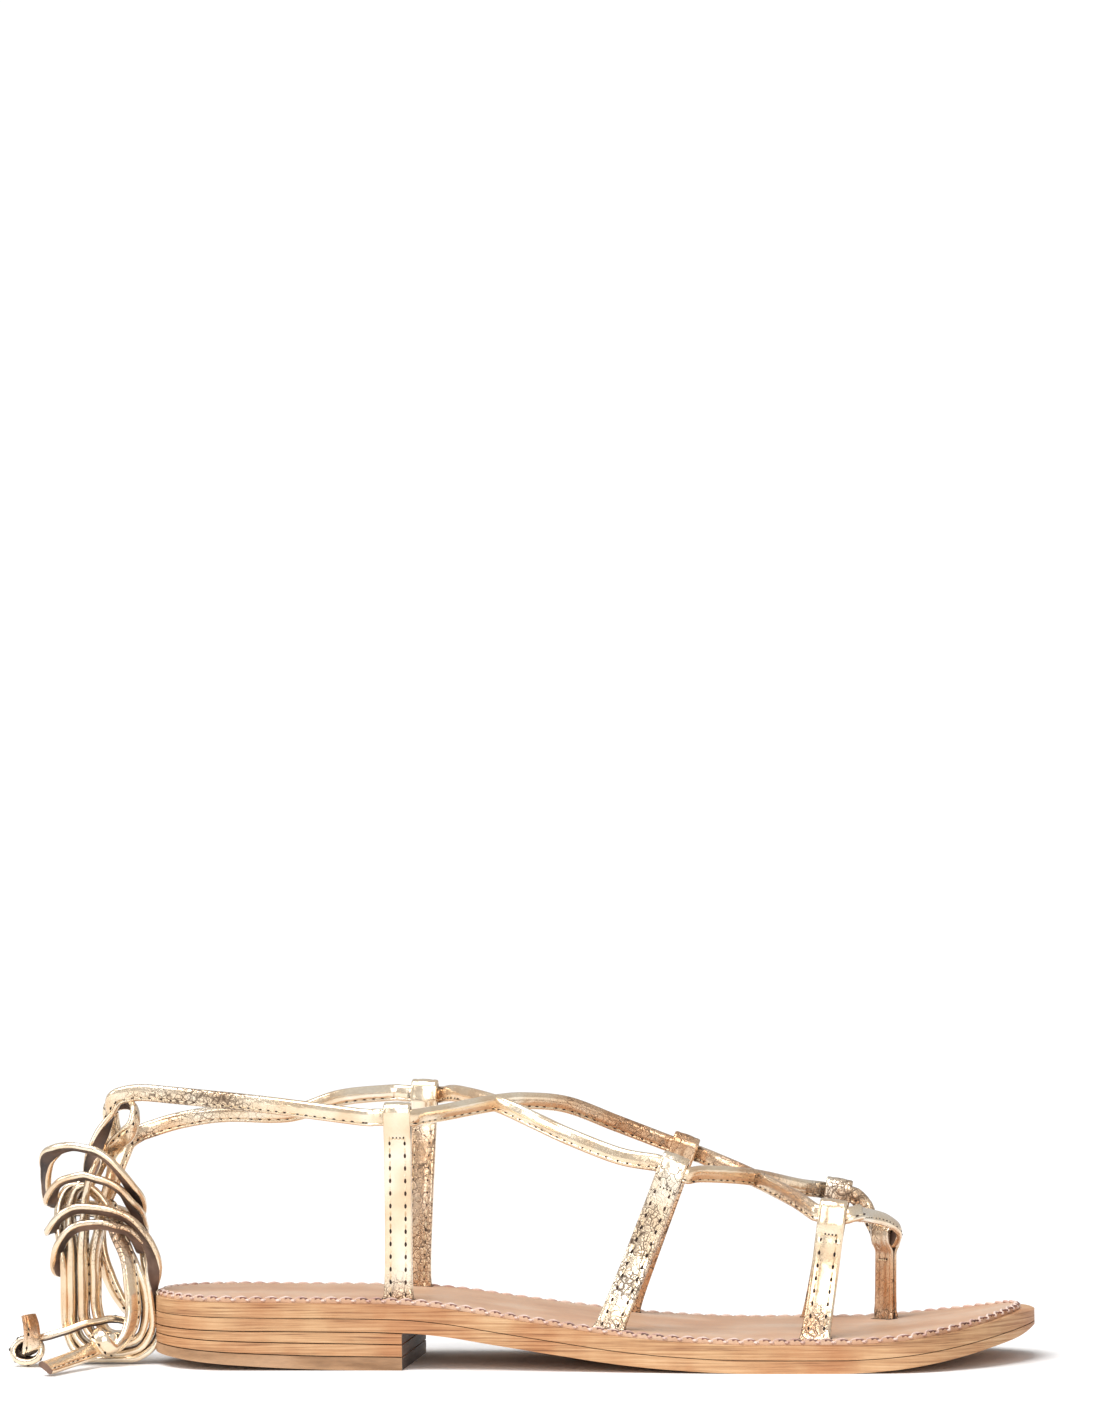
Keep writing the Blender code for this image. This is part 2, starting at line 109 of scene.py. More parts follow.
# How far below its tunnel a strap opens out, shorter on the post, whose tunnel ends higher too
TUNNEL_TAPER = 5 * MM
POST_TAPER = 2 * MM
POST_TUNNEL_LOW = 0.3
STRAPS = (
    ("ankle_strap_lateral", 0.290, -1, 51.41 * MM, 0.015, -0.045, 0.02),
    ("ankle_strap_medial", 0.288, 1, 55.65 * MM, 0.045, -0.045, 0.02),
    ("instep_strap_lateral", 0.528, -1, 44.1 * MM, 0.415, 0.085, 0.05),
    ("instep_strap_medial", 0.526, 1, 47.25 * MM, 0.392, 0.075, 0.05),
    ("toe_strap_lateral", 0.759, -1, 34 * MM, 0.15, 0.11, 0.06),
    ("toe_strap_medial", 0.746, 1, 36.38 * MM, 0.20, 0.055, 0.06),
)
POST_HEIGHT = 23 * MM
POST_ALONG = 0.829
POST_ASIDE = 0.29
POST_LEAN = 0.02
POST_TURN = math.radians(-50)

# Lace and its way through the tunnels
LACE_WIDTH = 5.5 * MM
LACE_THICKNESS = 2.0 * MM
LACE_PAST_TUNNEL = 1.2 * MM
LACED = (
    "ankle_strap_medial", "instep_strap_lateral", "toe_strap_medial", "toe_post",
    "toe_strap_lateral", "instep_strap_medial", "ankle_strap_lateral",
)
# Between two tunnels: share of the way, then how far it goes ahead, to the inner side and up from
# the straight line, as shares of the ball's width
SPANS = (
    ((0.15, 0.0, -0.090, 0.044), (0.32, 0.0, -0.148, 0.054), (0.46, 0.0, -0.140, 0.035),
     (0.60, 0.0, -0.139, 0.016), (0.80, 0.0, -0.100, -0.002)),
    ((0.20, 0.0, -0.070, 0.004), (0.48, 0.0, -0.055, 0.016), (0.75, 0.0, 0.030, 0.000)),
    ((0.32, 0.039, 0.048, 0.000), (0.65, 0.010, 0.060, -0.013)),
    ((0.18, 0.074, 0.010, 0.005), (0.33, 0.059, -0.009, 0.026), (0.62, 0.048, 0.004, 0.016),
     (0.86, 0.060, 0.000, 0.000), (0.95, 0.082, 0.000, -0.004)),
    ((0.25, 0.0, -0.043, 0.000), (0.536, 0.0, 0.022, 0.004), (0.80, 0.0, 0.000, 0.006)),
    ((0.25, 0.0, 0.118, 0.057), (0.42, 0.0, 0.139, 0.101), (0.56, 0.0, 0.141, 0.101),
     (0.67, 0.0, 0.141, 0.082), (0.85, 0.0, 0.066, 0.030)),
)

# Free run of the lateral lace: forward, inner side and up in millimetres, then the
# direction of the lace's width
LATERAL_FREE = (
    # along the tail and over its corner
    (-81, -22, 73.6, 0, 0, 1), (-96, -17, 75.2, 0, 0, 1), (-111, -12, 76.5, 0, 0, 1),
    (-121, -9.6, 77.4, 0, 0, 1), (-128.5, -8, 78, 0, 0, 1), (-133, -7.6, 77.6, -0.1, 0, 1),
    (-136.6, -7, 76.4, -0.5, -0.2, 0.9), (-138.2, -5.6, 73.8, -0.7, 0.6, 0.3),
    (-139, -4.5, 70.5, 0.1, 1, 0), (-140.8, -5, 66.5, 0.7, 0.7, 0), (-142.3, -6, 62.5, 0.85, 0.4, 0),
    (-143.8, -7, 58, 0.8, -0.5, 0), (-144.8, -7.2, 53.5, 0.4, -0.9, 0),
    # down, third from the back
    (-145.5, -6.8, 48, 0, -1, 0), (-146, -6.2, 41, -0.2, -0.95, 0), (-146.5, -6, 34, -0.3, -0.95, 0),
    (-146.5, -5.6, 27, -0.35, -0.9, 0), (-146.5, -5.2, 20, -0.35, -0.9, 0),
    (-146.5, -5, 14, -0.3, -0.95, 0), (-145, -5, 9.5, -0.2, -0.95, -0.1),
    (-142, -5.2, 6.8, -0.1, -0.95, -0.2), (-138, -5.6, 6, 0, -0.95, -0.3),
    (-134, -6, 6.4, 0.1, -0.95, -0.25), (-130.5, -6.2, 8, 0.2, -0.95, -0.15),
    # up, third from the front
    (-129, -6.3, 11.5, 0.35, -0.9, 0), (-128.5, -6.5, 16, 0.5, -0.85, 0),
    (-129, -6.5, 21, 0.55, -0.8, 0), (-130.5, -6.5, 26, 0.5, -0.85, 0), (-132.5, -6, 31, 0.4, -0.9, 0),
    (-135.5, -5.5, 36.5, 0.3, -0.95, 0), (-138.5, -5, 43, 0.2, -0.95, 0.1),
    (-142, -4.5, 48.5, 0.1, -0.95, 0.2), (-145.5, -4.5, 51, 0, -0.95, 0.2),
    (-148.5, -5, 50, -0.1, -0.95, 0.2),
    # down, second from the back
    (-150, -5.5, 45.5, -0.2, -0.95, 0), (-150, -6, 39.5, -0.3, -0.95, 0),
    (-149.5, -6.2, 33, -0.35, -0.9, 0), (-149.5, -6, 25.5, -0.4, -0.9, 0),
    (-149.5, -5.6, 18.5, -0.4, -0.9, 0), (-149.5, -5.2, 12, -0.35, -0.9, 0),
    (-148, -5, 7.4, -0.2, -0.95, -0.2), (-144.5, -5, 4.6, -0.1, -0.95, -0.3),
    (-140, -5, 3.6, 0, -0.95, -0.3), (-135, -5.2, 3.6, 0.1, -0.95, -0.3),
    (-130.5, -5.5, 4.9, 0.2, -0.95, -0.2), (-128, -5.8, 7.8, 0.3, -0.9, -0.1),
    # up, second from the front, and out into the third ring
    (-126.5, -6, 11.5, 0.2, -0.95, 0), (-126.5, -6.3, 17, 0, -1, 0), (-126.5, -6.8, 22, -0.35, -0.9, 0),
    (-126, -7.5, 26, -0.9, -0.4, 0), (-125.5, -8.5, 29.5, -0.95, 0.3, 0),
    (-126.5, -9.8, 34, -0.8, 0.6, -0.1), (-128.5, -11, 38, -0.5, 0.8, -0.3),
    (-131.5, -11.8, 41.5, -0.3, 0.85, -0.4), (-135, -12.2, 43.5, -0.15, 0.88, -0.45),
    (-139, -12.3, 44.5, 0, 0.88, -0.47), (-143.5, -12.3, 45, 0, 0.88, -0.47),
    (-147.5, -12, 45, 0.1, 0.9, -0.4), (-151, -11.2, 43.5, 0.2, 0.92, -0.3),
    (-154, -9.5, 41, 0.3, 0.95, 0), (-155.5, -6.5, 38.5, 0.7, 0.6, 0.2),
    # round the back
    (-155.5, -2, 39.5, 0.8, -0.5, 0), (-153, 1, 42.5, 0.3, -0.9, 0.1), (-147, 2.2, 43, 0, -0.95, 0.2),
    (-141, 2.4, 41.5, 0, -0.95, 0.2), (-135, 1.5, 38.5, -0.3, -0.9, 0.1),
    (-130.5, -1.5, 35, -0.8, -0.5, 0),
    # fourth ring
    (-129, -5, 32.5, -1, 0.2, 0), (-130, -8.5, 35.5, -0.6, 0.7, -0.3),
    (-132.5, -10.4, 38.5, -0.3, 0.85, -0.4), (-136, -11.3, 39.5, -0.1, 0.88, -0.45),
    (-139.5, -11.6, 40.5, 0, 0.88, -0.45), (-143, -11.6, 40.5, 0, 0.88, -0.45),
    (-146.5, -11.4, 40, 0.1, 0.88, -0.45), (-149.5, -10.8, 38.5, 0.2, 0.9, -0.35),
    (-152.5, -9.6, 35, 0.3, 0.92, -0.1), (-154, -7.5, 31, 0.4, 0.9, 0),
    (-154, -4.5, 27.5, 0.8, 0.3, 0.3),
    # up the back and over the top inside the rings
    (-152.5, -1.4, 26, 0.5, -0.8, 0.3), (-149.5, 0.8, 27.5, 0.2, -0.95, 0),
    (-146, 1.6, 31.5, -0.1, -1, 0), (-143.5, 1.8, 37, -0.4, -0.9, 0), (-142.5, 1.2, 42, -0.7, -0.7, 0),
    (-140.5, -2, 46, -0.9, -0.4, 0.1),
    # down, the broad one in front
    (-138.5, -6.2, 45, -0.95, -0.3, 0.1), (-137.2, -8.2, 41.5, -0.9, -0.4, 0),
    (-135.6, -8.8, 37, -0.85, -0.5, 0), (-133.8, -9, 33, -0.8, -0.6, 0),
    (-132.6, -9.2, 29, -0.75, -0.65, 0), (-131.9, -9.6, 23, -0.75, -0.65, 0),
    (-131.4, -10, 16.5, -0.75, -0.65, 0), (-132, -10.6, 11.5, -0.7, -0.7, 0.1),
    # the knot, once round itself
    (-134, -11.6, 7.2, -0.3, -0.9, 0.4), (-136.6, -13.6, 4.8, 0.6, -0.4, 0.6),
    (-137.7, -15.8, 5.3, 0.77, 0.2, 0.6), (-139, -16.8, 7.2, 0.77, 0.2, 0.6),
    (-140.6, -16, 9, 0.77, 0.2, 0.6), (-141.8, -13.6, 9.6, 0.77, 0.2, 0.6),
    (-141.2, -11.2, 8.3, 0.77, 0.2, 0.6), (-138.6, -9.6, 7.2, 0.4, 0.5, 0.8),
    (-136, -10.2, 7.2, 0, 0.4, 0.9), (-136.4, -12.6, 7.4, -0.4, 0.1, 0.9),
    (-139.6, -14.4, 6.2, -0.45, 0, 0.9),
    # its square-cut end
    (-142.4, -18.5, 4.8, -0.55, 0, 0.7), (-145, -25.5, 3.8, -0.7, 0.1, 0.6),
    (-147.8, -33.5, 3, -0.75, 0.2, 0.55), (-150.5, -43, 2.4, -0.75, 0.2, 0.55),
)

# Free run of the medial lace
MEDIAL_FREE = (
    # along the tail, folded down behind the rings
    (-75, 20, 74.8, 0, 0, 1), (-89, 14, 70.6, 0, 0, 1), (-107, 8, 71, 0, 0, 1),
    (-119, 4, 69.5, 0, 0, 1), (-128.5, 1.5, 66.8, 0, 0, 1), (-131.5, 0, 65.5, -0.1, 0, 1),
    (-134, -2, 63.5, -0.6, 0, 0.8), (-135.5, -3, 60, -0.9, 0, 0.4), (-137, -4, 56, -1, -0.1, 0.2),
    (-138.5, -4.5, 51, -0.8, -0.5, 0),
    # down, fourth from the back
    (-140.5, -4, 45.5, -0.5, -0.85, 0), (-142, -3.5, 38.5, -0.3, -0.95, 0),
    (-143.5, -3, 31, -0.3, -0.95, 0), (-143.5, -2.6, 24, -0.3, -0.95, 0),
    (-143.5, -2.6, 17.5, -0.3, -0.95, 0), (-142.5, -3, 12.5, -0.3, -0.95, 0),
    (-140.5, -4.2, 9.4, -0.1, -0.95, -0.2), (-137.5, -5, 8.2, 0, -0.95, -0.3),
    (-134, -5.5, 8.9, 0.2, -0.95, -0.2),
    # up, fourth from the front
    (-132, -6, 12, 0.3, -0.95, 0), (-131.5, -6, 16, 0.4, -0.9, 0), (-131.5, -6, 21, 0.4, -0.9, 0),
    (-132.5, -5.8, 26.5, 0.4, -0.9, 0), (-135, -5, 31.5, 0.3, -0.95, 0),
    (-137.5, -4, 37, 0.3, -0.95, 0), (-140, -3, 43, 0.2, -0.95, 0.1),
    (-143, -2.5, 47.5, 0.1, -0.95, 0.2), (-147, -2, 50.5, 0, -0.95, 0.2),
    (-151, -2.5, 50.5, -0.1, -0.95, 0.2), (-153, -3.5, 47, -0.3, -0.95, 0),
    # down, the rearmost
    (-153.5, -4.5, 41, -0.4, -0.9, 0), (-152.5, -5.5, 34, -0.4, -0.9, 0),
    (-151.5, -5.8, 27, -0.4, -0.9, 0), (-151.5, -5.5, 20, -0.4, -0.9, 0),
    (-151.5, -5.2, 13, -0.4, -0.9, 0), (-150.5, -5, 7.5, -0.3, -0.9, -0.2),
    (-148.5, -5, 4, -0.2, -0.9, -0.3), (-145, -5, 2, -0.1, -0.9, -0.35),
    (-140, -5, 1.2, 0, -0.95, -0.3), (-135, -5.2, 1.2, 0.1, -0.95, -0.3),
    (-130.5, -5.3, 2.6, 0.2, -0.9, -0.3), (-127, -5.3, 5, 0.3, -0.9, -0.2),
    # up, the foremost, and behind into the second ring
    (-125, -5, 8.5, 0.4, -0.9, 0), (-124, -4.8, 12.5, 0.4, -0.9, 0), (-124.5, -4.5, 16.5, 0.4, -0.9, 0),
    (-126, -3.6, 20, 0.4, -0.9, 0), (-128, -2, 23, 0.3, -0.95, 0), (-129.5, -0.4, 27.5, 0, -1, 0),
    (-130, 0.6, 32, -0.2, -1, 0), (-130.5, -0.4, 37, -0.5, -0.8, 0), (-130.5, -4, 40.5, -1, 0, 0),
    (-130.5, -8, 44, -0.7, 0.6, -0.2), (-132, -11, 47, -0.4, 0.85, -0.3),
    (-134, -12.3, 50, -0.2, 0.9, -0.35), (-137.5, -12.8, 52.5, -0.1, 0.9, -0.3),
    (-141, -12.8, 53.5, 0, 0.92, -0.3), (-144.5, -12.6, 54.5, 0, 0.92, -0.3),
    (-148, -12.2, 54, 0.1, 0.95, -0.25), (-151.5, -11.2, 53, 0.15, 0.95, -0.15),
    (-154.5, -9.2, 50.5, 0.3, 0.92, 0.1), (-156, -5.5, 47.5, 0.75, 0.5, 0.3),
    (-155.5, -1.5, 46, 0.8, -0.5, 0), (-152.5, 1.4, 45.5, 0.3, -0.95, 0), (-146, 2.4, 45.5, 0, -1, 0),
    (-139, 2, 44.5, 0, -1, 0), (-133.5, -1, 43, -0.5, -0.8, 0),
    # first ring, the loosest
    (-130.5, -5.5, 44, -1, 0.1, 0), (-130, -9.4, 48, -0.8, 0.5, -0.2),
    (-131.5, -12.2, 51.5, -0.5, 0.8, -0.3), (-134, -14.2, 55.5, -0.35, 0.85, -0.3),
    (-137, -15, 59, -0.25, 0.9, -0.3), (-140.5, -15, 61.5, -0.1, 0.92, -0.3),
    (-144.5, -14.6, 62.5, 0, 0.92, -0.3), (-148.5, -13.6, 63, 0.1, 0.92, -0.3),
    (-153, -12, 62, 0.45, 0.8, -0.45), (-156, -9.6, 59.5, 0.8, -0.1, -0.6),
    (-157, -7, 55.5, 0.55, -0.8, 0), (-157.5, -4.2, 51, 0.45, -0.9, 0),
    (-157, -1.2, 47, 0.5, -0.7, 0.3), (-155, 1.8, 46, 0.2, -0.9, 0.4),
    (-150.5, 3.4, 48.5, -0.2, -0.5, 0.8), (-145.5, 3.4, 53, -0.4, 0.6, 0.7),
    (-141.5, 1.6, 57.5, 0, 0.9, 0.4),
    # the small loop at the top
    (-139, -3, 60.5, 0.4, 0.7, -0.1), (-136, -7.2, 63.5, 0.7, 0.15, -0.7),
    (-133, -9.4, 66, 0.75, 0.25, -0.6), (-130.8, -10, 69, 0.4, 0.9, -0.1),
    (-130.5, -8.8, 72.5, 0, 1, 0), (-132, -5.8, 74.5, -0.2, 0.9, -0.3),
    (-136, -2.4, 75, -0.2, 0.7, -0.6), (-139, -0.4, 73.5, -0.3, 0.6, -0.7),
    (-139.5, 1.2, 70.5, -0.9, 0.3, -0.3), (-139, 2.2, 66, -1, 0.2, 0), (-138.5, 2.8, 61.5, -1, 0.3, 0),
    # down the back, aslant behind the front strands
    (-139, 3.2, 56.5, -0.9, 0.5, 0), (-140.5, 3.4, 50, -0.7, 0.7, 0), (-142, 3.2, 43, -0.5, 0.85, 0),
    (-143, 2.6, 37, -0.5, 0.85, 0), (-142.5, 2, 31, -0.6, 0.8, 0.1), (-141, 1.6, 25.5, -0.8, 0.5, 0.3),
    (-138.5, 1.2, 20, -0.8, 0.5, 0.4), (-135.5, 0.6, 15.5, -0.7, 0.6, 0.4),
    (-133.4, -0.4, 12.8, 0, 0.9, 0.3),
    # the end, out to the back over the strands
    (-133.6, -3.2, 11.8, 0.2, 0.9, -0.2), (-136, -5, 12.6, 0.1, 0.95, -0.2),
    (-139, -7, 13, 0, 0.95, -0.2), (-142, -9, 12.5, 0, 0.97, -0.2), (-145.5, -10.8, 12, 0, 0.97, -0.2),
    (-149.5, -11.6, 10.5, 0, 0.97, -0.2), (-153, -12.2, 9.5, 0, 0.97, -0.2),
    (-156.5, -12.6, 8.5, 0, 0.97, -0.2),
    # its small knot, with the tip up
    (-159.5, -12.4, 8, 0, 0.97, -0.2), (-163.5, -12.2, 7.5, 0.1, 0.97, -0.1),
    (-165.5, -12.6, 5, 0.2, 0.97, 0), (-164.5, -13.2, 2.5, 0.2, 0.97, 0.1),
    (-161.5, -13.8, 1.5, 0, 0.97, 0.2), (-158.5, -14, 2.5, -0.2, 0.97, 0),
    (-157.5, -13.4, 5, -0.2, 0.97, 0), (-159, -11.4, 7, -0.2, 0.9, -0.3),
    (-162, -8.8, 7.5, -0.2, 0.9, -0.4), (-164.2, -8.4, 6, 0.3, 0.9, -0.3),
    (-163.6, -10.2, 4.2, 0.7, 0.7, 0), (-161.5, -13, 4, 0.9, 0.4, 0.3), (-160, -16, 6, 0.95, 0.2, 0.2),
    (-159.5, -17, 9.5, 0.85, 0.5, 0), (-159.8, -16.8, 12.5, 0.75, 0.65, 0),
    (-160.6, -16.2, 15, 0.6, 0.8, 0),
)

# Camera: from the outer side, a little towards the toe, as the photograph was taken
CAMERA_AZIMUTH = math.radians(5.3)
CAMERA_DISTANCE = 1.5
CAMERA_HEIGHT = 141 * MM
CAMERA_YAW = math.radians(5.684)
CAMERA_PITCH = math.radians(1.728)
CAMERA_ROLL = math.radians(-0.7)
CAMERA_LENS = 132.18
SENSOR = 36
CLIP_START = 0.05
CLIP_END = 50


def seat(place, x_axis, y_axis, z_axis):
    """Where something sits: its place and its three directions."""
    return Matrix.Translation(place) @ Matrix((x_axis, y_axis, z_axis)).transposed().to_4x4()


def heading(points, k):
    """Direction of a line of points at one of them."""
    return (points[min(k + 1, len(points) - 1)] - points[max(k - 1, 0)]).normalized()


def place_camera():
    data = bpy.data.cameras.new("photo_camera")
    data.lens = CAMERA_LENS
    data.sensor_fit = "VERTICAL"
    data.sensor_height = SENSOR
    data.clip_start = CLIP_START
    data.clip_end = CLIP_END
    camera = bpy.data.objects.new("photo_camera", data)
    bpy.context.scene.collection.objects.link(camera)
    bpy.context.scene.camera = camera
    ahead = Vector((
        -math.sin(CAMERA_YAW) * math.cos(CAMERA_PITCH),
        math.cos(CAMERA_YAW) * math.cos(CAMERA_PITCH),
        math.sin(CAMERA_PITCH),
    ))
    right = ahead.cross(Vector((0, 0, 1))).normalized()
    up = right.cross(ahead)
    turned = right * math.cos(CAMERA_ROLL) + up * math.sin(CAMERA_ROLL)
    upward = up * math.cos(CAMERA_ROLL) - right * math.sin(CAMERA_ROLL)
    east = CAMERA_DISTANCE * math.sin(CAMERA_AZIMUTH)
    south = CAMERA_DISTANCE * math.cos(CAMERA_AZIMUTH)
    camera.matrix_world = seat(Vector((east, -south, CAMERA_HEIGHT)), turned, upward, -ahead)


place_camera()


def rates(xs, ys):
    """Slopes at the points of a curve that passes them all and never overshoots."""
    steps = [(ys[i + 1] - ys[i]) / (xs[i + 1] - xs[i]) for i in range(len(xs) - 1)]
    slopes = [steps[0]]
    for left, right in zip(steps, steps[1:]):
        slopes.append(0.0 if left * right <= 0 else 2 * left * right / (left + right))
    slopes.append(steps[-1])
    return slopes


def table_curve(rows, column, scale=lambda row: 1.0):
    xs = [row[0] for row in rows]
    ys = [row[column] * scale(row) for row in rows]
    slopes = rates(xs, ys)

    def value(x):
        x = min(max(x, xs[0]), xs[-1])
        i = max(k for k in range(len(xs) - 1) if xs[k] <= x)
        width = xs[i + 1] - xs[i]
        t = (x - xs[i]) / width
        bend = t * t * (3 - 2 * t)
        return (
            ys[i] * (1 - bend) + ys[i + 1] * bend
            + width * (slopes[i] * t * (1 - t) ** 2 - slopes[i + 1] * t * t * (1 - t))
        )

    return value


swing = table_curve(OUTLINE, 1, lambda row: BALL_WIDTH)
full_width = table_curve(OUTLINE, 3, lambda row: row[2])
heel_rise = table_curve(SIDE, 1)
toe_rise = table_curve(SIDE, 2)


def share(x):
    return x / LENGTH + 0.5


def rounding(distance, radius):
    t = min((distance + END_FLAT) / radius, 1.0)
    return math.sqrt(1 - (1 - t) ** 2)


def half_width(x, inset=0.0):
    ends = rounding(LENGTH / 2 + x, HEEL_ROUND) * rounding(LENGTH / 2 - x, TOE_ROUND)
    return max(full_width(share(x)) / 2 * ends - inset, END_FLAT)


def middle(x):
    return swing(share(x))


def underside(x):
    return HEEL_HEIGHT * heel_rise(share(x)) + TOE_SPRING * toe_rise(share(x))


def outsole_top(x):
    return underside(x) + OUTSOLE + (OUTSOLE_AT_TIP - OUTSOLE) * toe_rise(share(x))


def midsole_low(x):
    return outsole_top(x) + GLUE_LINE


def tip_share(x):
    return max(1 - (LENGTH / 2 - x) / TIP_ROLL_LENGTH, 0.0) ** 2


def midsole_top(x):
    return midsole_low(x) + MIDSOLE - TIP_FALL * tip_share(x)


def insole_low(x):
    return midsole_top(x) + GLUE_LINE


def insole_top(x):
    return insole_low(x) + INSOLE


def heel_tread(x):
    t = max(1 - (x + LENGTH / 2) / HEEL_ROLL_LENGTH, 0.0)
    return HEEL_ROLL * t * t


def outer_low(x):
    return underside(x) + TIP_ROLL * tip_share(x)


def inset_x(x, inset):
    """A place along the sole moved in from its ends, and further in at the toe."""
    if not inset:
        return x
    near_toe = max((x - TOE_MARGIN_FROM) / (LENGTH / 2 - TOE_MARGIN_FROM), 0.0)
    return x * (1 - 2 * inset / LENGTH) - TOE_MARGIN * near_toe ** 2


def linear(code):
    """A colour's sRGB hex code as the linear values that the shader takes."""
    parts = [int(code[i:i + 2], 16) / 255 for i in (1, 3, 5)]
    return (*[p / 12.92 if p <= 0.04045 else ((p + 0.055) / 1.055) ** 2.4 for p in parts], 1)


def add_node(tree, kind, inputs=None, **settings):
    """A shader node with its settings, its values and what feeds it."""
    made = tree.nodes.new("ShaderNode" + kind)
    for name, value in settings.items():
        setattr(made, name, value)
    for name, value in (inputs or {}).items():
        if isinstance(value, bpy.types.NodeSocket):
            tree.links.new(value, made.inputs[name])
        else:
            made.inputs[name].default_value = value
    return made


def set_ramp(ramp, stops):
    """Colours or greys of a colour ramp: place and value."""
    elements = ramp.color_ramp.elements
    while len(elements) < len(stops):
        elements.new(0.5)
    for element, (place, value) in zip(elements, stops):
        element.position = place
        element.color = linear(value) if isinstance(value, str) else (value, value, value, 1)


def new_material(name):
    """An empty material, its nodes and the piece's own coordinates."""
    material = bpy.data.materials.new(name)
    material.use_nodes = True
    tree = material.node_tree
    tree.nodes.clear()
    return material, tree, add_node(tree, "TexCoord").outputs["Object"]


def set_surface(tree, inputs):
    shader = add_node(tree, "BsdfPrincipled", inputs)
    add_node(tree, "OutputMaterial", {"Surface": shader.outputs["BSDF"]}, is_active_output=True)


# Foil, counted along a metre: a wrinkle every 3 mm that pushes the cracks about, patches of cracks
# 7 mm across, clouds of tone every 12 mm, and grain every 0.7 mm, as fine as the render shows
WRINKLES = 0.33 / MM
CRACKED_PATCHES = 0.15 / MM
TONE_CLOUDS = 0.085 / MM
FOIL_GRAIN = 1.5 / MM
# Flakes of 2.2 mm between broad cracks and of 1.1 mm between fine ones: how many, share of crack
FLAKES = ((0.45 / MM, 0.30), (0.9 / MM, 0.22))
CRACK_PUSH = 0.0014
WRINKLE_DEPTH = 0.35 * MM
CRACK_DEPTH = 0.12 * MM


def foil_leather():
    """Leather with a pressed champagne foil: bright and smooth where it lies flat, broken by dark
    cracks where hands and folds have worn it, and painted coppery where it stands in shade and,
    at the strap feet, as the tan footbed's reflection."""
    material, tree, place = new_material("leather_with_crackled_gold_foil")
    worn = add_node(tree, "Attribute", attribute_name="worn").outputs["Fac"]
    copper = add_node(tree, "Attribute", attribute_name="copper").outputs["Fac"]
    wander = add_node(tree, "TexNoise", {"Vector": place, "Scale": WRINKLES, "Detail": 1})
    pushed = add_node(
        tree, "MixRGB", {"Fac": CRACK_PUSH, "Color1": place, "Color2": wander.outputs["Color"]},
        blend_type="LINEAR_LIGHT",
    )
    patches = add_node(tree, "TexNoise", {"Vector": place, "Scale": CRACKED_PATCHES, "Detail": 3})
    patch_share = add_node(
        tree, "MapRange",
        {"Value": patches.outputs["Fac"], "From Min": 0.36, "From Max": 0.6, "To Min": 0.25},
    )
    cracking = add_node(tree, "Math", {0: worn, 1: patch_share.outputs["Result"]}, operation="MULTIPLY")
    shown = None
    for flakes, breadth in FLAKES:
        cell = add_node(
            tree, "TexVoronoi", {"Vector": pushed.outputs["Color"], "Scale": flakes},
            feature="DISTANCE_TO_EDGE",
        )
        reach = add_node(
            tree, "Math", {0: cracking.outputs["Value"], 1: breadth, 2: 0.0005}, operation="MULTIPLY_ADD",
        )
        line = add_node(
            tree, "MapRange",
            {"Value": cell.outputs["Distance"], "From Max": reach.outputs["Value"], "To Min": 1, "To Max": 0},
        ).outputs["Result"]
        if shown is not None:
            line = add_node(tree, "Math", {0: shown, 1: line}, operation="MAXIMUM").outputs["Value"]
        shown = line
    clouds = add_node(tree, "TexNoise", {"Vector": place, "Scale": TONE_CLOUDS, "Detail": 2})
    tone = add_node(tree, "ValToRGB", {"Fac": clouds.outputs["Fac"]})
    set_ramp(tone, ((0.3, "#E6C4A0"), (0.5, "#F2DCBE"), (0.7, "#FAEEDA")))
    # painted shade: a coppery tone mixed into the foil where it stands in shade, and at the strap feet as the
    # footbed's painted reflection
    copper_shaded_tone = add_node(
        tree, "MixRGB", {"Fac": copper, "Color1": tone.outputs["Color"], "Color2": linear("#C2834F")},
    )
    grain = add_node(tree, "TexNoise", {"Vector": place, "Scale": FOIL_GRAIN, "Detail": 2})
    grain_tone = add_node(tree, "ValToRGB", {"Fac": grain.outputs["Fac"]})
    set_ramp(grain_tone, ((0.3, "#C39A70"), (0.52, "#FFFFFF")))
    mottled = add_node(
        tree, "MixRGB",
        {"Fac": 0.08, "Color1": copper_shaded_tone.outputs["Color"], "Color2": grain_tone.outputs["Color"]},
        blend_type="MULTIPLY",
    )
    colour = add_node(
        tree, "MixRGB", {"Fac": shown, "Color1": mottled.outputs["Color"], "Color2": linear("#4E3827")},
    )
    rough = add_node(
        tree, "MapRange",
        {"Value": grain.outputs["Fac"], "From Min": 0.3, "From Max": 0.7, "To Min": 0.12, "To Max": 0.27},
    )
    metal = add_node(tree, "MapRange", {"Value": shown, "To Min": 0.9, "To Max": 0.3})
    dents = add_node(
        tree, "Bump", {"Height": wander.outputs["Fac"], "Strength": 0.3, "Distance": WRINKLE_DEPTH},
    )
    relief = add_node(
        tree, "Bump",
        {"Height": shown, "Strength": 0.5, "Distance": CRACK_DEPTH, "Normal": dents.outputs["Normal"]},
        invert=True,
    )
    set_surface(tree, {
        "Base Color": colour.outputs["Color"], "Roughness": rough.outputs["Result"],
        "Metallic": metal.outputs["Result"], "Normal": relief.outputs["Normal"],
    })
    return material


# Clouds of dye 11 mm across
DYE_CLOUDS = 0.09 / MM


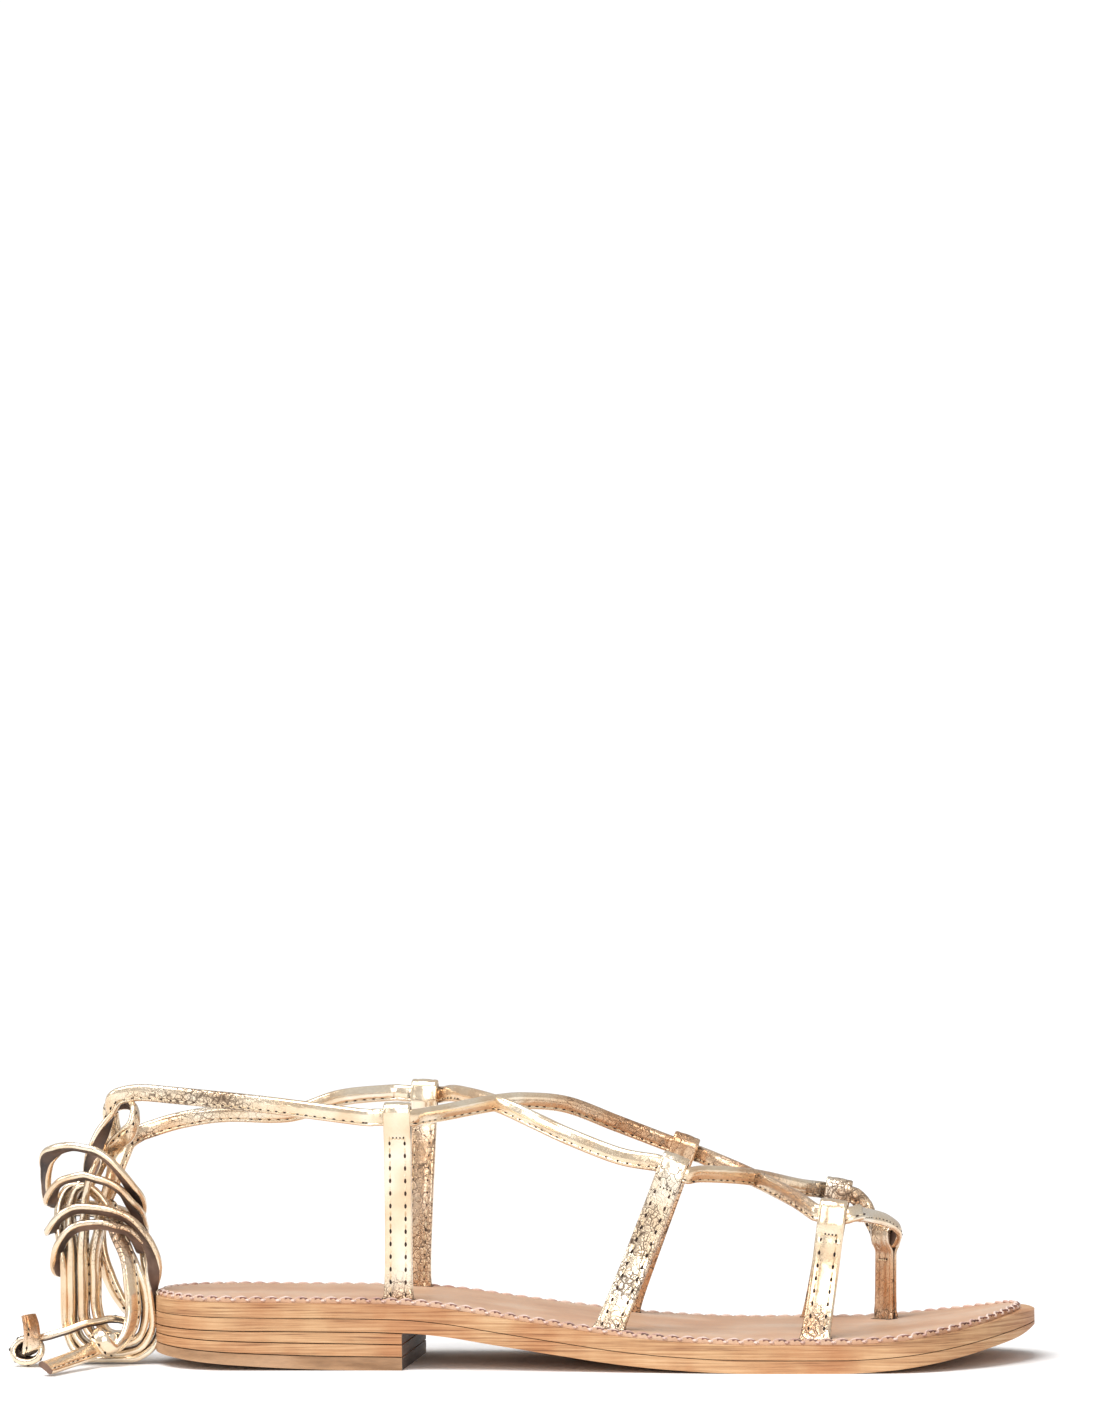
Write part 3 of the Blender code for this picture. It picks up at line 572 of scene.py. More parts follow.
def plain_leather(name, pale, mid, dark, rough_range, grain_mm, depth_mm, stretch=(1, 1, 1)):
    """A finish without foil: cloudy colour with a grain of the given size."""
    material, tree, place = new_material(name)
    stretched = add_node(tree, "Mapping", {"Vector": place, "Scale": stretch}).outputs["Vector"]
    clouds = add_node(tree, "TexNoise", {"Vector": stretched, "Scale": DYE_CLOUDS, "Detail": 5})
    tone = add_node(tree, "ValToRGB", {"Fac": clouds.outputs["Fac"]})
    set_ramp(tone, ((0.35, dark), (0.5, mid), (0.68, pale)))
    grain = add_node(
        tree, "TexNoise",
        {"Vector": stretched, "Scale": 1 / (grain_mm * MM), "Detail": 4, "Roughness": 0.6},
    )
    fine = add_node(tree, "ValToRGB", {"Fac": grain.outputs["Fac"]})
    set_ramp(fine, ((0.3, 0.72), (0.6, 1.0)))
    colour = add_node(
        tree, "MixRGB", {"Fac": 0.6, "Color1": tone.outputs["Color"], "Color2": fine.outputs["Color"]},
        blend_type="MULTIPLY",
    )
    rough = add_node(
        tree, "MapRange",
        {"Value": grain.outputs["Fac"], "From Min": 0.3, "From Max": 0.7,
         "To Min": rough_range[0], "To Max": rough_range[1]},
    )
    relief = add_node(
        tree, "Bump", {"Height": grain.outputs["Fac"], "Strength": 0.6, "Distance": depth_mm * MM},
    )
    set_surface(tree, {
        "Base Color": colour.outputs["Color"], "Roughness": rough.outputs["Result"],
        "Normal": relief.outputs["Normal"],
    })
    return material


# Fibres 25 mm long and 0.5 mm high, stains 17 mm across and pores 0.6 mm apart
FIBRE_COUNTS = (0.04 / MM, 0.04 / MM, 2 / MM)
STAINS = 0.06 / MM
PORES = 1.8 / MM
FIBRE_DEPTH = 0.15 * MM
PORE_DEPTH = 0.08 * MM


def stacked_leather():
    """Veg-tanned sole leather, its cut edge burnished: honey with long dark fibres along the edge."""
    material, tree, place = new_material("stacked_leather_with_burnished_edge")
    along = add_node(tree, "Mapping", {"Vector": place, "Scale": FIBRE_COUNTS})
    fibres = add_node(
        tree, "TexNoise",
        {"Vector": along.outputs["Vector"], "Scale": 1, "Detail": 5, "Roughness": 0.62},
    )
    line = add_node(tree, "ValToRGB", {"Fac": fibres.outputs["Fac"]})
    set_ramp(line, ((0.30, "#7C5638"), (0.40, "#B0845C"), (0.52, "#C89C70"), (0.72, "#DEBA90")))
    clouds = add_node(tree, "TexNoise", {"Vector": place, "Scale": STAINS, "Detail": 4})
    stain = add_node(tree, "ValToRGB", {"Fac": clouds.outputs["Fac"]})
    set_ramp(stain, ((0.35, "#D8A57A"), (0.62, "#FFFFFF")))
    toned = add_node(
        tree, "MixRGB", {"Fac": 0.55, "Color1": line.outputs["Color"], "Color2": stain.outputs["Color"]},
        blend_type="MULTIPLY",
    )
    pores = add_node(tree, "TexNoise", {"Vector": place, "Scale": PORES, "Detail": 2})
    rough = add_node(
        tree, "MapRange",
        {"Value": fibres.outputs["Fac"], "From Min": 0.3, "From Max": 0.7, "To Min": 0.62, "To Max": 0.4},
    )
    ridges = add_node(
        tree, "Bump", {"Height": fibres.outputs["Fac"], "Strength": 0.55, "Distance": FIBRE_DEPTH},
    )
    relief = add_node(
        tree, "Bump",
        {"Height": pores.outputs["Fac"], "Strength": 0.25, "Distance": PORE_DEPTH,
         "Normal": ridges.outputs["Normal"]},
    )
    set_surface(tree, {
        "Base Color": toned.outputs["Color"], "Roughness": rough.outputs["Result"],
        "Normal": relief.outputs["Normal"],
    })
    return material


GOLD = foil_leather()
STACK = stacked_leather()
# Other finishes: pale, middle and dark tone, roughness, size and depth of the grain in
# millimetres, and how it is stretched
# the flesh side of straps and laces, matt and brown
EDGE = plain_leather(
    "cut_leather_edge_dyed_brown", "#8A6A58", "#5C4538", "#35261E", (0.5, 0.75), 0.5, 0.15,
)
# a dull beige tread without shine
TOP_PIECE = plain_leather(
    "moulded_heel_rubber", "#BC9674", "#AC8562", "#8E6A4A", (0.6, 0.8), 0.9, 0.1, (0.5, 0.5, 3),
)
# the heel's front, darker and greyer than the lifts
BREAST = plain_leather(
    "heel_breast_leather_dark_grey", "#8E7A6A", "#74645A", "#574B44", (0.55, 0.75), 0.6, 0.12,
    (0.3, 0.3, 2),
)
# soft footbed leather with a faint sheen
NUDE = plain_leather(
    "nude_lining_leather", "#DCBDA4", "#D6AD8D", "#CC9F7E", (0.42, 0.6), 0.7, 0.08, (0.45, 0.6, 1),
)
# threads: waxed, so they catch a little light
THREAD = plain_leather(
    "waxed_thread_champagne", "#F6E6CB", "#E9D2AC", "#C8A678", (0.4, 0.6), 0.35, 0.1,
)
PINK_THREAD = plain_leather(
    "waxed_thread_pale_rose", "#F4E2D8", "#E9CDBF", "#C9A093", (0.45, 0.65), 0.35, 0.1,
)
# painted shadow under each scallop of the footbed's edge stitching, as a dark red thread
PAINTED_SCALLOP_SHADOW = plain_leather(
    "painted_shadow_under_scallops", "#8C5848", "#704235", "#4C2A22", (0.5, 0.7), 0.35, 0.08,
)
# the shade inside awl holes and slots
HOLE_SHADE = plain_leather(
    "painted_shade_in_awl_holes_and_slots", "#4A3226", "#2E1F17", "#1C130E", (0.8, 0.95), 0.4, 0.05,
)


# Places of cracks and of painted shade in the foil: middle and reach in millimetres, how cracked,
# and how coppery, a tone painted as shade, and at the strap feet as the footbed's reflection
CRACKS_AND_SHADE_PLACES = (
    # the lateral tail, and the flaps where both laces leave the hank
    ((-110, -12, 77), 15, 0.8, 0.1), ((-129, 4, 62), 6, 0.8, 0.5), ((-135, -9, 37), 6.5, 0.9, 0.6),
    # the hank
    ((-140, 0, 45), 16, 0.03, 0.12), ((-160, -17, 13), 5, 0.25, 1.0),
    # the instep strap that faces outwards, darkest in its middle
    ((13, -33, 26), 11, 0.75, 0.0), ((17, -32, 38), 9, 1.0, 0.1), ((22, -31, 50), 8, 0.5, 0.0),
    ((33, 22, 68), 8, 0.6, 0.1),
    # the lateral lace across the instep and on to the toes, painted coppery where it turns into shade
    ((0, 14, 77), 9, 0.3, 0.6), ((12, 19, 73), 12, 0.35, 0.9), ((25, 22, 69), 10, 0.35, 0.9),
    ((45, 6, 58), 11, 0.35, 0.75), ((60, -17, 49), 11, 0.3, 0.5),
    # the medial lace round the toes
    ((72, 29, 43), 10, 0.75, 0.25), ((80, 27, 36), 5, 0.4, 0.1),
    # strap feet, painted coppery as the tan footbed's reflection, and the post's face in painted shade
    ((-53, -22, 19), 5, 0.9, 0.8), ((7, -36, 11), 6, 0.9, 0.7), ((64, -36, 12), 5, 0.85, 0.7),
    ((-53, 23, 16), 5, 0.7, 0.6), ((7, 30, 8), 5, 0.7, 0.6), ((62, 37, 8), 5, 0.7, 0.6),
    ((83, 24, 9), 5, 0.6, 0.6), ((83, 24, 20), 12, 0.1, 0.85),
)


def cracks_and_shade_of(point):
    """How cracked the foil is at a place, and how coppery it is painted there as shade."""
    cracked = coppery = 0.0
    for centre, reach, cracks, shade_tint in CRACKS_AND_SHADE_PLACES:
        near = math.exp(-((point - Vector(centre) * MM).length / (reach * MM)) ** 2)
        cracked = max(cracked, cracks * near)
        coppery = max(coppery, shade_tint * near)
    return cracked, coppery


# The least cracking of a strap's inner face, and the least coppery tone painted on it as shade
BACK_CRACKS = 0.3
BACK_COPPER_SHADE = 0.35


def mark_cracks_and_shade(mesh, inner=None):
    """Store the cracking and the coppery painted shade at each point, more of both on the inner faces of a
    strap.
    """
    values = [cracks_and_shade_of(vert.co) for vert in mesh.vertices]
    if inner is not None:
        values = [
            (max(cracked, BACK_CRACKS * inner(vert.co)), max(coppery, BACK_COPPER_SHADE * inner(vert.co)))
            for vert, (cracked, coppery) in zip(mesh.vertices, values)
        ]
    for index, name in enumerate(("worn", "copper")):
        stored = mesh.attributes.new(name, "FLOAT", "POINT")
        stored.data.foreach_set("value", [value[index] for value in values])


def finish_piece(name, shape, materials, replaced=(), smooth_angle=40):
    """A bmesh as a named piece that rides on the sandal."""
    mesh = bpy.data.meshes.new(name)
    shape.to_mesh(mesh)
    shape.free()
    for material in materials:
        mesh.materials.append(material)
    mesh.shade_smooth()
    mesh.set_sharp_from_angle(angle=math.radians(smooth_angle))
    piece = bpy.data.objects.new(name, mesh)
    bpy.context.scene.collection.objects.link(piece)
    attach(piece, BODY)
    if replaced:
        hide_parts(*replaced)
    return piece


BODY = next(iter(frame["bodies"]))


def strip(shape, profile, frames, closed, material):
    """Draw a profile out along a row of frames. Returns its first and last edges."""
    verts = [shape.verts.new(frames[0] @ Vector(point)) for point in profile]
    pairs = list(zip(verts, verts[1:])) + ([(verts[-1], verts[0])] if closed else [])
    first = edges = [shape.edges.new(pair) for pair in pairs]
    for before, after in zip(frames, frames[1:]):
        grown = bmesh.ops.extrude_edge_only(shape, edges=edges)["geom"]
        moved = [part for part in grown if isinstance(part, bmesh.types.BMVert)]
        edges = [part for part in grown if isinstance(part, bmesh.types.BMEdge)]
        for part in grown:
            if isinstance(part, bmesh.types.BMFace):
                part.material_index = material
        edges = [edge for edge in edges if all(vert in moved for vert in edge.verts)]
        bmesh.ops.transform(shape, matrix=after @ before.inverted(), verts=moved)
    return first, edges


def stations(count, length=LENGTH, both_ends=True):
    """Sections along the sole, close together at its rounded ends."""
    ends = 2 if both_ends else 1
    turn = math.pi * ends / 2
    return [length * (1 - math.cos(turn * i / count)) / ends - LENGTH / 2 for i in range(count + 1)]


# A layer's section, in half widths across and heights up
SECTION = ((0, -1, 0), (0, -1, 0.5), (0, -1, 1), (0, 0, 1), (0, 1, 1), (0, 1, 0.5), (0, 1, 0), (0, 0, 0))
CORNER_ANGLE = math.radians(50)


def sole_layer(name, places, inset, low, high, materials, slot, node, edge_round):
    """One layer of the sole, with its edges rounded over."""
    frames = []
    for x in places:
        shown_x = inset_x(x, inset)
        frames.append(Matrix((
            (1, 0, 0, shown_x),
            (0, half_width(x, inset), 0, middle(x)),
            (0, 0, high(shown_x) - low(shown_x), low(shown_x)),
            (0, 0, 0, 1),
        )))
    shape = bmesh.new()
    for edges in strip(shape, SECTION, frames, True, 0):
        caps = bmesh.ops.contextual_create(shape, geom=edges)["faces"]
    # the front end of a heel piece is its breast
    for face in caps:
        face.material_index = len(materials) - 1
    bmesh.ops.recalc_face_normals(shape, faces=shape.faces)
    piece = finish_piece(name, shape, materials, (node,))
    rounded = piece.modifiers.new("rolled_edge", "BEVEL")
    rounded.width = edge_round
    rounded.segments = 3
    rounded.limit_method = "ANGLE"
    rounded.angle_limit = CORNER_ANGLE


def heel_level(k):
    return lambda x: heel_tread(x) + (underside(x) - heel_tread(x)) * LIFT_SHARES[k]


whole = stations(150)
heel = stations(60, HEEL_LENGTH, False)
# Roundings of the edges, and the seams that show between layers
EDGE_ROUND = 0.5 * MM
FOOTBED_ROUND = 0.8 * MM
TREAD_ROUND = 0.4 * MM
LIFT_ROUND = 0.35 * MM
SOLE_SEAM = 0.22 * MM
FOOTBED_SEAM = 0.03 * MM
# Layers: name, sections, inset, underside, top, finishes, slot, node in the frame, rounding
LAYERS = (
    ("sole_outer", whole, 0, outer_low, outsole_top, [STACK], "stacked_leather", "outsole", EDGE_ROUND),
    ("sole_middle", whole, 0, lambda x: outsole_top(x) + SOLE_SEAM, midsole_top,
     [STACK], "stacked_leather", "midsole", EDGE_ROUND),
    ("footbed", whole, INSOLE_INSET, lambda x: midsole_top(x) + FOOTBED_SEAM, insole_top,
     [NUDE], "insole_leather", "insole", FOOTBED_ROUND),
    ("heel_tread_piece", heel, 0, heel_tread, heel_level(0),
     [TOP_PIECE, BREAST], "heel_rubber", "heel_top_piece", TREAD_ROUND),
    ("heel_lift_one", heel, 0, lambda x: heel_level(0)(x) + GLUE_LINE, heel_level(1),
     [STACK, BREAST], "stacked_leather", "heel_lift_lower", LIFT_ROUND),
    ("heel_lift_two", heel, 0, lambda x: heel_level(1)(x) + GLUE_LINE, lambda x: underside(x) - GLUE_LINE,
     [STACK, BREAST], "stacked_leather", "heel_lift_upper", LIFT_ROUND),
)
for layer in LAYERS:
    sole_layer(*layer)


class Strap:
    """Where a folded strap stands: its foot, its tunnel and its three directions."""

    def __init__(self, name, foot, tunnel, run, bow=0.0):
        self.name = name
        self.foot = foot
        self.tunnel = tunnel
        self.bow = bow
        self.up = (tunnel - foot).normalized()
        self.run = (run - run.dot(self.up) * self.up).normalized()
        self.out = self.up.cross(self.run)
        self.height = (tunnel - foot).length
        # local X across the leather, Y up the strap and Z along its tunnel
        self.place = seat(foot, self.out, self.up, self.run)


def side_strap(row):
    name, along, side, height, lean, inward, bow = row
    x = (along - 0.5) * LENGTH
    foot_y = middle(x) + side * (half_width(x, INSOLE_INSET) - STRAP_INSET)
    foot = Vector((x, foot_y, midsole_top(x) + GLUE_LINE))
    tunnel = Vector((x + lean * height, foot_y - side * inward * BALL_WIDTH, insole_top(x) + height))
    return Strap(name, foot, tunnel, Vector((1, 0, 0)), -side * bow * height)


def post_strap():
    x = (POST_ALONG - 0.5) * LENGTH
    y = POST_ASIDE * BALL_WIDTH
    foot = Vector((x, y, midsole_top(x) + GLUE_LINE))
    tunnel = Vector((x + POST_LEAN * POST_HEIGHT, y, insole_top(x) + POST_HEIGHT))
    return Strap("toe_post", foot, tunnel, Vector((math.cos(POST_TURN), math.sin(POST_TURN), 0)))


# The tunnel: half its breadth, and how far from its middle it starts to round off
HOLE = LACE_THICKNESS / 2 + TUNNEL_CLEARANCE
HOLE_REACH = LACE_WIDTH / 2 + TUNNEL_CLEARANCE - HOLE
straps = {strap.name: strap for strap in [side_strap(row) for row in STRAPS] + [post_strap()]}


def spread_evenly(points, step):
    """Points at even steps along a line of points."""
    lengths = [0.0]
    for start, end in zip(points, points[1:]):
        lengths.append(lengths[-1] + (end - start).length)
    count = max(round(lengths[-1] / step), 1)
    spread, i = [], 0
    for k in range(count + 1):
        wanted = lengths[-1] * k / count
        while i < len(points) - 2 and lengths[i + 1] < wanted:
            i += 1
        t = (wanted - lengths[i]) / max(lengths[i + 1] - lengths[i], 1e-9)
        spread.append(points[i].lerp(points[i + 1], min(t, 1.0)))
    return spread


def bow_at(strap, height, neck):
    t = min(height / neck, 1.0)
    return strap.bow * 4 * t * (1 - t)


# Points up a strap's straight, where it opens out and round its fold
STRAIGHT_STEPS = 12
OPENING_STEPS = 6
FOLD_STEPS = 12


def band_line(strap):
    """Middle of the folded leather in the strap's own plane, from the outer foot over the tunnel
    and down to the inner foot."""
    middle_out = HOLE + STRAP_LEATHER / 2
    half_layer = STRAP_LEATHER / 2
    post = strap.name == "toe_post"
    low = strap.height - HOLE_REACH * (POST_TUNNEL_LOW if post else 1)
    high = strap.height + HOLE_REACH
    neck = low - HOLE - (POST_TAPER if post else TUNNEL_TAPER)
    side = [(half_layer, neck * i / STRAIGHT_STEPS) for i in range(STRAIGHT_STEPS + 1)]
    for i in range(1, OPENING_STEPS + 1):
        t = i / OPENING_STEPS
        ease = t * t * (3 - 2 * t)
        side.append((half_layer + (middle_out - half_layer) * ease, neck + (low - neck) * t))
    turns = [math.pi * i / FOLD_STEPS for i in range(FOLD_STEPS + 1)]
    over = [(middle_out * math.cos(turn), high + middle_out * math.sin(turn)) for turn in turns]
    line = side + over + [(-u, v) for u, v in reversed(side)]
    return [Vector((u + bow_at(strap, v, neck), v, 0)) for u, v in line], neck


def slope_at(strap):
    ahead, behind = (midsole_top(strap.foot.x + side * STRAP_WIDTH) for side in (1, -1))
    return (ahead - behind) / (2 * STRAP_WIDTH)


def line_frames(points):
    """Frames along a strap's line: X along the leather's normal, Y along the line, Z aside."""
    aside = Vector((0, 0, 1))
    frames = []
    for k, point in enumerate(points):
        ahead = heading(points, k)
        frames.append(seat(point, ahead.cross(aside).normalized(), ahead, aside))
    return frames


# Section of the strap's leather in millimetres, out of its face and across its width: the face is
# raised between the rows of stitches and the edges are rounded
BAND_FACE = (
    (-0.50, -3.78), (-0.25, -3.85), (0.10, -3.84), (0.38, -3.70), (0.52, -3.35), (0.56, -2.9),
    (0.50, -2.2), (0.60, -1.4), (0.66, -0.6), (0.66, 0.6), (0.60, 1.4), (0.50, 2.2), (0.56, 2.9),
    (0.52, 3.35), (0.38, 3.70), (0.10, 3.84), (-0.25, 3.85), (-0.50, 3.78),
)
BAND_BACK = ((-0.50, 3.78), (-0.62, 3.4), (-0.62, -3.4), (-0.50, -3.78))
BAND_STEP = 0.9 * MM
SAME_PLACE = 0.01 * MM
LEATHER_CREASE = 50
THREAD_CREASE = 60
# The foot spreads and puckers where it goes into its slot
FLARE = 0.18
FLARE_HEIGHT = 3.5 * MM
PUCKER = 0.55 * MM
PUCKER_HEIGHT = 2.2 * MM
PUCKER_PITCH = 2.3 * MM
PUCKER_SLANT = 0.6
PUCKER_OUT = 0.6
# Its inner face is cracked, and painted coppery as shade, up to 7 mm below the tunnel, the post's least
BACK_DEPTH = 0.8 * MM
BACK_CRACKS_AND_SHADE_BELOW = 7 * MM
BACK_FADE = 4 * MM
POST_BACK_SHARE = 0.3


def seat_on_sole(strap, point, neck):
    """Slant the strap's foot along the sole, in the strap's own coordinates."""
    level = Vector((-slope_at(strap), 0, 1))
    drop = (point.x * strap.out + point.z * strap.run).dot(level) / strap.up.dot(level)
    point.y -= drop * max(1 - point.y / neck, 0.0)


def draw_leather(outlines, frames):
    """A band of leather drawn out along its frames, foil on its face and brown on its back."""
    shape = bmesh.new()
    for index, outline in enumerate(outlines):
        strip(shape, [(u, 0, w) for u, w in outline], frames, False, index)
    bmesh.ops.remove_doubles(shape, verts=shape.verts, dist=SAME_PLACE)
    return shape


def close_ends(shape):
    """Close the cut ends of a band in brown."""
    ends = [edge for edge in shape.edges if edge.is_boundary]
    for face in bmesh.ops.holes_fill(shape, edges=ends)["faces"]:
        face.material_index = 1
    bmesh.ops.recalc_face_normals(shape, faces=shape.faces)


def build_strap(strap):
    line, neck = band_line(strap)
    points = spread_evenly(line, BAND_STEP)
    frames = line_frames(points)
    flared = []
    for frame_at, point in zip(frames, points):
        wide = 1 + FLARE * math.exp(-max(point.y, 0) / FLARE_HEIGHT)
        flared.append(frame_at @ Matrix.Diagonal((MM, MM, MM * wide, 1)))
    shape = draw_leather((BAND_FACE, BAND_BACK), flared)
    for vert in shape.verts:
        fold = math.sin(2 * math.pi * (vert.co.z + PUCKER_SLANT * vert.co.y) / PUCKER_PITCH)
        side = 1 if vert.co.x > bow_at(strap, vert.co.y, neck) else -1
        vert.co.x += side * PUCKER * (fold + PUCKER_OUT) * math.exp(-abs(vert.co.y) / PUCKER_HEIGHT)
        seat_on_sole(strap, vert.co, neck)
    close_ends(shape)
    bmesh.ops.transform(shape, matrix=strap.place, verts=shape.verts)
    band = finish_piece(
        strap.name + "_band", shape, [GOLD, EDGE], (strap.name,), LEATHER_CREASE,
    )
    sign = 1 if strap.foot.y < 0 else -1
    most = POST_BACK_SHARE if strap.name == "toe_post" else 1
    back = strap.place.inverted()

    def inner(point):
        local = back @ point
        aside = sign * (local.x - bow_at(strap, local.y, neck))
        below = (strap.height - BACK_CRACKS_AND_SHADE_BELOW - local.y) / BACK_FADE
        return min(max(aside / BACK_DEPTH, 0.0), 1.0) * min(max(below, 0.0), 1.0) * most

    mark_cracks_and_shade(band.data, inner)
    return points, neck


# Stitches of the straps: pitch, where their rows run, length and thickness of the thread, and the
# awl holes between them, dark balls of painted shade, wider on the outer face
STITCH_PITCH = 2.9 * MM
STITCH_ROW = STRAP_WIDTH / 2 - 1.7 * MM
FIRST_STITCH = 2.2 * MM
STITCH_OUT = 0.52 * MM
STITCH_LENGTH = 1.7 * MM
STITCH_THICK = 0.5 * MM
OUTER_HOLE = 1.5 * MM
INNER_HOLE = 0.8 * MM
HOLE_SINK = 0.02 * MM
# One row runs across below the tunnel, its awl holes in painted shade too
CROSS_STITCH_BELOW = 6.5 * MM
CROSS_STITCH_FREE = 5.5 * MM
CROSS_STITCHES_AT = (-1.5, -0.5, 0.5, 1.5)
CROSS_STITCH = (0.9 * MM, 0.45 * MM)
CROSS_STITCH_OUT = 0.58 * MM
CROSS_HOLE = (0.7 * MM, 0.6 * MM)
CROSS_HOLE_AT = Vector((0.55, -0.35, 0.4)) * MM


def stitch_pattern(material):
    """A ball one unit across, from which every stitch and every awl hole's painted shade is made."""
    shape = bmesh.new()
    bmesh.ops.create_uvsphere(shape, u_segments=6, v_segments=4, radius=0.5)
    for face in shape.faces:
        face.material_index = material
    mesh = bpy.data.meshes.new("stitch_pattern")
    shape.to_mesh(mesh)
    shape.free()
    return mesh


PATTERNS = [stitch_pattern(0), stitch_pattern(1)]


def put_stitch(shape, place, length, thick, material):
    """One stitch, or the painted shade of an awl hole: a ball drawn out along local Y."""
    one = PATTERNS[material].copy()
    one.transform(place @ Matrix.Diagonal((thick, length, thick, 1)))
    shape.from_mesh(one)
    bpy.data.meshes.remove(one)


def join_in(shape, part):
    """Add a small finished part to a larger one."""
    mesh = bpy.data.meshes.new("part")
    part.to_mesh(mesh)
    part.free()
    shape.from_mesh(mesh)
    bpy.data.meshes.remove(mesh)


def stitch_strap(shape, strap, points, neck):
    """Two rows of stitches up each side of a strap and one across below its tunnel."""
    frames = line_frames(points)
    travelled = 0.0
    wanted = FIRST_STITCH
    for k in range(1, len(points)):
        travelled += (points[k] - points[k - 1]).length
        if travelled < wanted or points[k].y > strap.height - CROSS_STITCH_FREE:
            continue
        wanted = travelled + STITCH_PITCH
        outside = (points[k].x - bow_at(strap, points[k].y, neck)) * strap.foot.y > 0
        if strap.name == "toe_post" and not outside:
            continue
        awl = OUTER_HOLE if outside else INNER_HOLE
        for side in (-1, 1):
            seated = frames[k] @ Matrix.Translation((STITCH_OUT, 0, side * STITCH_ROW))
            point = seated.to_translation()
            seat_on_sole(strap, point, neck)
            seated.translation = point
            put_stitch(shape, strap.place @ seated, STITCH_LENGTH, STITCH_THICK, 0)
            hole = Matrix.Translation((-HOLE_SINK, STITCH_PITCH / 2, 0))
            put_stitch(shape, strap.place @ seated @ hole, awl, awl / 2, 1)
    level = strap.height - CROSS_STITCH_BELOW
    across = Matrix.Rotation(math.pi / 2, 4, "X")
    for k in range(1, len(points) - 1):
        if (points[k].y - level) * (points[k + 1].y - level) >= 0:
            continue
        for aside in CROSS_STITCHES_AT:
            spot = frames[k] @ Matrix.Translation((CROSS_STITCH_OUT, 0, aside * MM))
            put_stitch(shape, strap.place @ spot @ across, *CROSS_STITCH, 0)
            hole = frames[k] @ Matrix.Translation(CROSS_HOLE_AT + Vector((0, 0, aside * MM)))
            put_stitch(shape, strap.place @ hole, *CROSS_HOLE, 1)


strap_threads = bmesh.new()
for strap in straps.values():
    band_points, band_neck = build_strap(strap)
    stitch_strap(strap_threads, strap, band_points, band_neck)
finish_piece("strap_stitches", strap_threads, [THREAD, HOLE_SHADE], (), THREAD_CREASE)


def on_curve(points, i, t):
    """A place on the smooth curve that passes all the points."""
    padded = [2 * points[0] - points[1], *points, 2 * points[-1] - points[-2]]
    before, start, end, after = padded[i:i + 4]
    return 0.5 * (
        2 * start + (end - before) * t
        + (2 * before - 5 * start + 4 * end - after) * t * t
        + (3 * start - before - 3 * end + after) * t ** 3
    )


def smooth_route(points, widths, step):
    """A route and the direction of its width, smoothed and at short even steps."""
    fine, wide = [], []
    for i in range(len(points) - 1):
        pieces = max(round((points[i + 1] - points[i]).length / step), 2)
        for k in range(pieces):
            fine.append(on_curve(points, i, k / pieces))
            wide.append(widths[i].lerp(widths[i + 1], k / pieces).normalized())
    return fine + [points[-1]], wide + [widths[-1].normalized()]


# Where the lace is led inside each tunnel, as shares of half its length
IN_TUNNEL = (-1.0, -0.6, 0.0, 0.6, 1.0)
MIDDLE = IN_TUNNEL.index(0.0)


def lacing_points():
    """Points of the lace and the direction of its width at each, through all the tunnels."""
    reach = STRAP_WIDTH / 2 + LACE_PAST_TUNNEL
    turn = LACED.index("toe_post")
    points, widths, post = [], [], 0
    for k, name in enumerate(LACED):
        strap = straps[name]
        forward = strap.run if k <= turn else -strap.run
        if k == turn:
            post = len(points) + MIDDLE
        for part in IN_TUNNEL:
            points.append(strap.tunnel + part * reach * forward)
            widths.append(strap.up)
        if k < len(SPANS):
            following = straps[LACED[k + 1]]
            for part, ahead, inner, above in SPANS[k]:
                bend = Vector((ahead, inner, above)) * BALL_WIDTH
                points.append(strap.tunnel.lerp(following.tunnel, part) + bend)
                widths.append(strap.up.lerp(following.up, part))
    return points, widths, post


# Between the post and the outer toe strap the lace lies on its back, so its edge shows
LEANING_SPAN = 3
LEANING_WIDTH = Vector((-0.15, 0.9, 0.4))
LEANING_RISE = 1.2 * MM
END_LEAN = 0.5
END_RISE = 0.6


def lean_over(points, widths):
    """Turn the lace on its back along the span by the toes."""
    spans_before = sum(len(span) for span in SPANS[:LEANING_SPAN])
    first = (LEANING_SPAN + 1) * len(IN_TUNNEL) + spans_before - 1
    last = first + len(SPANS[LEANING_SPAN]) + 1
    for k in range(first, last + 1):
        end = k in (first, last)
        widths[k] = widths[k].lerp(LEANING_WIDTH, END_LEAN if end else 1.0)
        points[k] = points[k] + Vector((0, 0, LEANING_RISE * (END_RISE if end else 1.0)))


# Section of the lace in millimetres, out of its face and across its width: face and rolled edges in
# foil, back in brown
LACE_FACE = (
    (-0.96, -1.85), (-0.94, -2.30), (-0.62, -2.66), (-0.10, -2.75), (0.42, -2.62), (0.74, -2.25),
    (0.76, -1.90), (0.62, -1.62), (0.80, -1.30), (1.00, -0.6), (1.08, 0.3), (1.04, 1.2), (0.92, 1.95),
    (0.6, 2.45), (0.1, 2.72), (-0.42, 2.70), (-0.82, 2.40), (-0.96, 1.95),
)
LACE_BACK = ((-0.96, 1.95), (-1.00, 1.5), (-0.86, 1.3), (-0.86, -1.2), (-1.00, -1.4), (-0.96, -1.85))
# The laces are shown a tenth narrower than their solids
LACE_SHOWN = 0.9
LACE_CLEARANCE = 0.15 * MM
LACE_STITCH_AT = Vector((0.62, 0, -1.62 * LACE_SHOWN)) * MM
LACE_STITCH = (1.9 * MM, 0.42 * MM)
LACE_HOLE = (1.1 * MM, 0.5 * MM)
FIRST_LACE_STITCH = 1 * MM


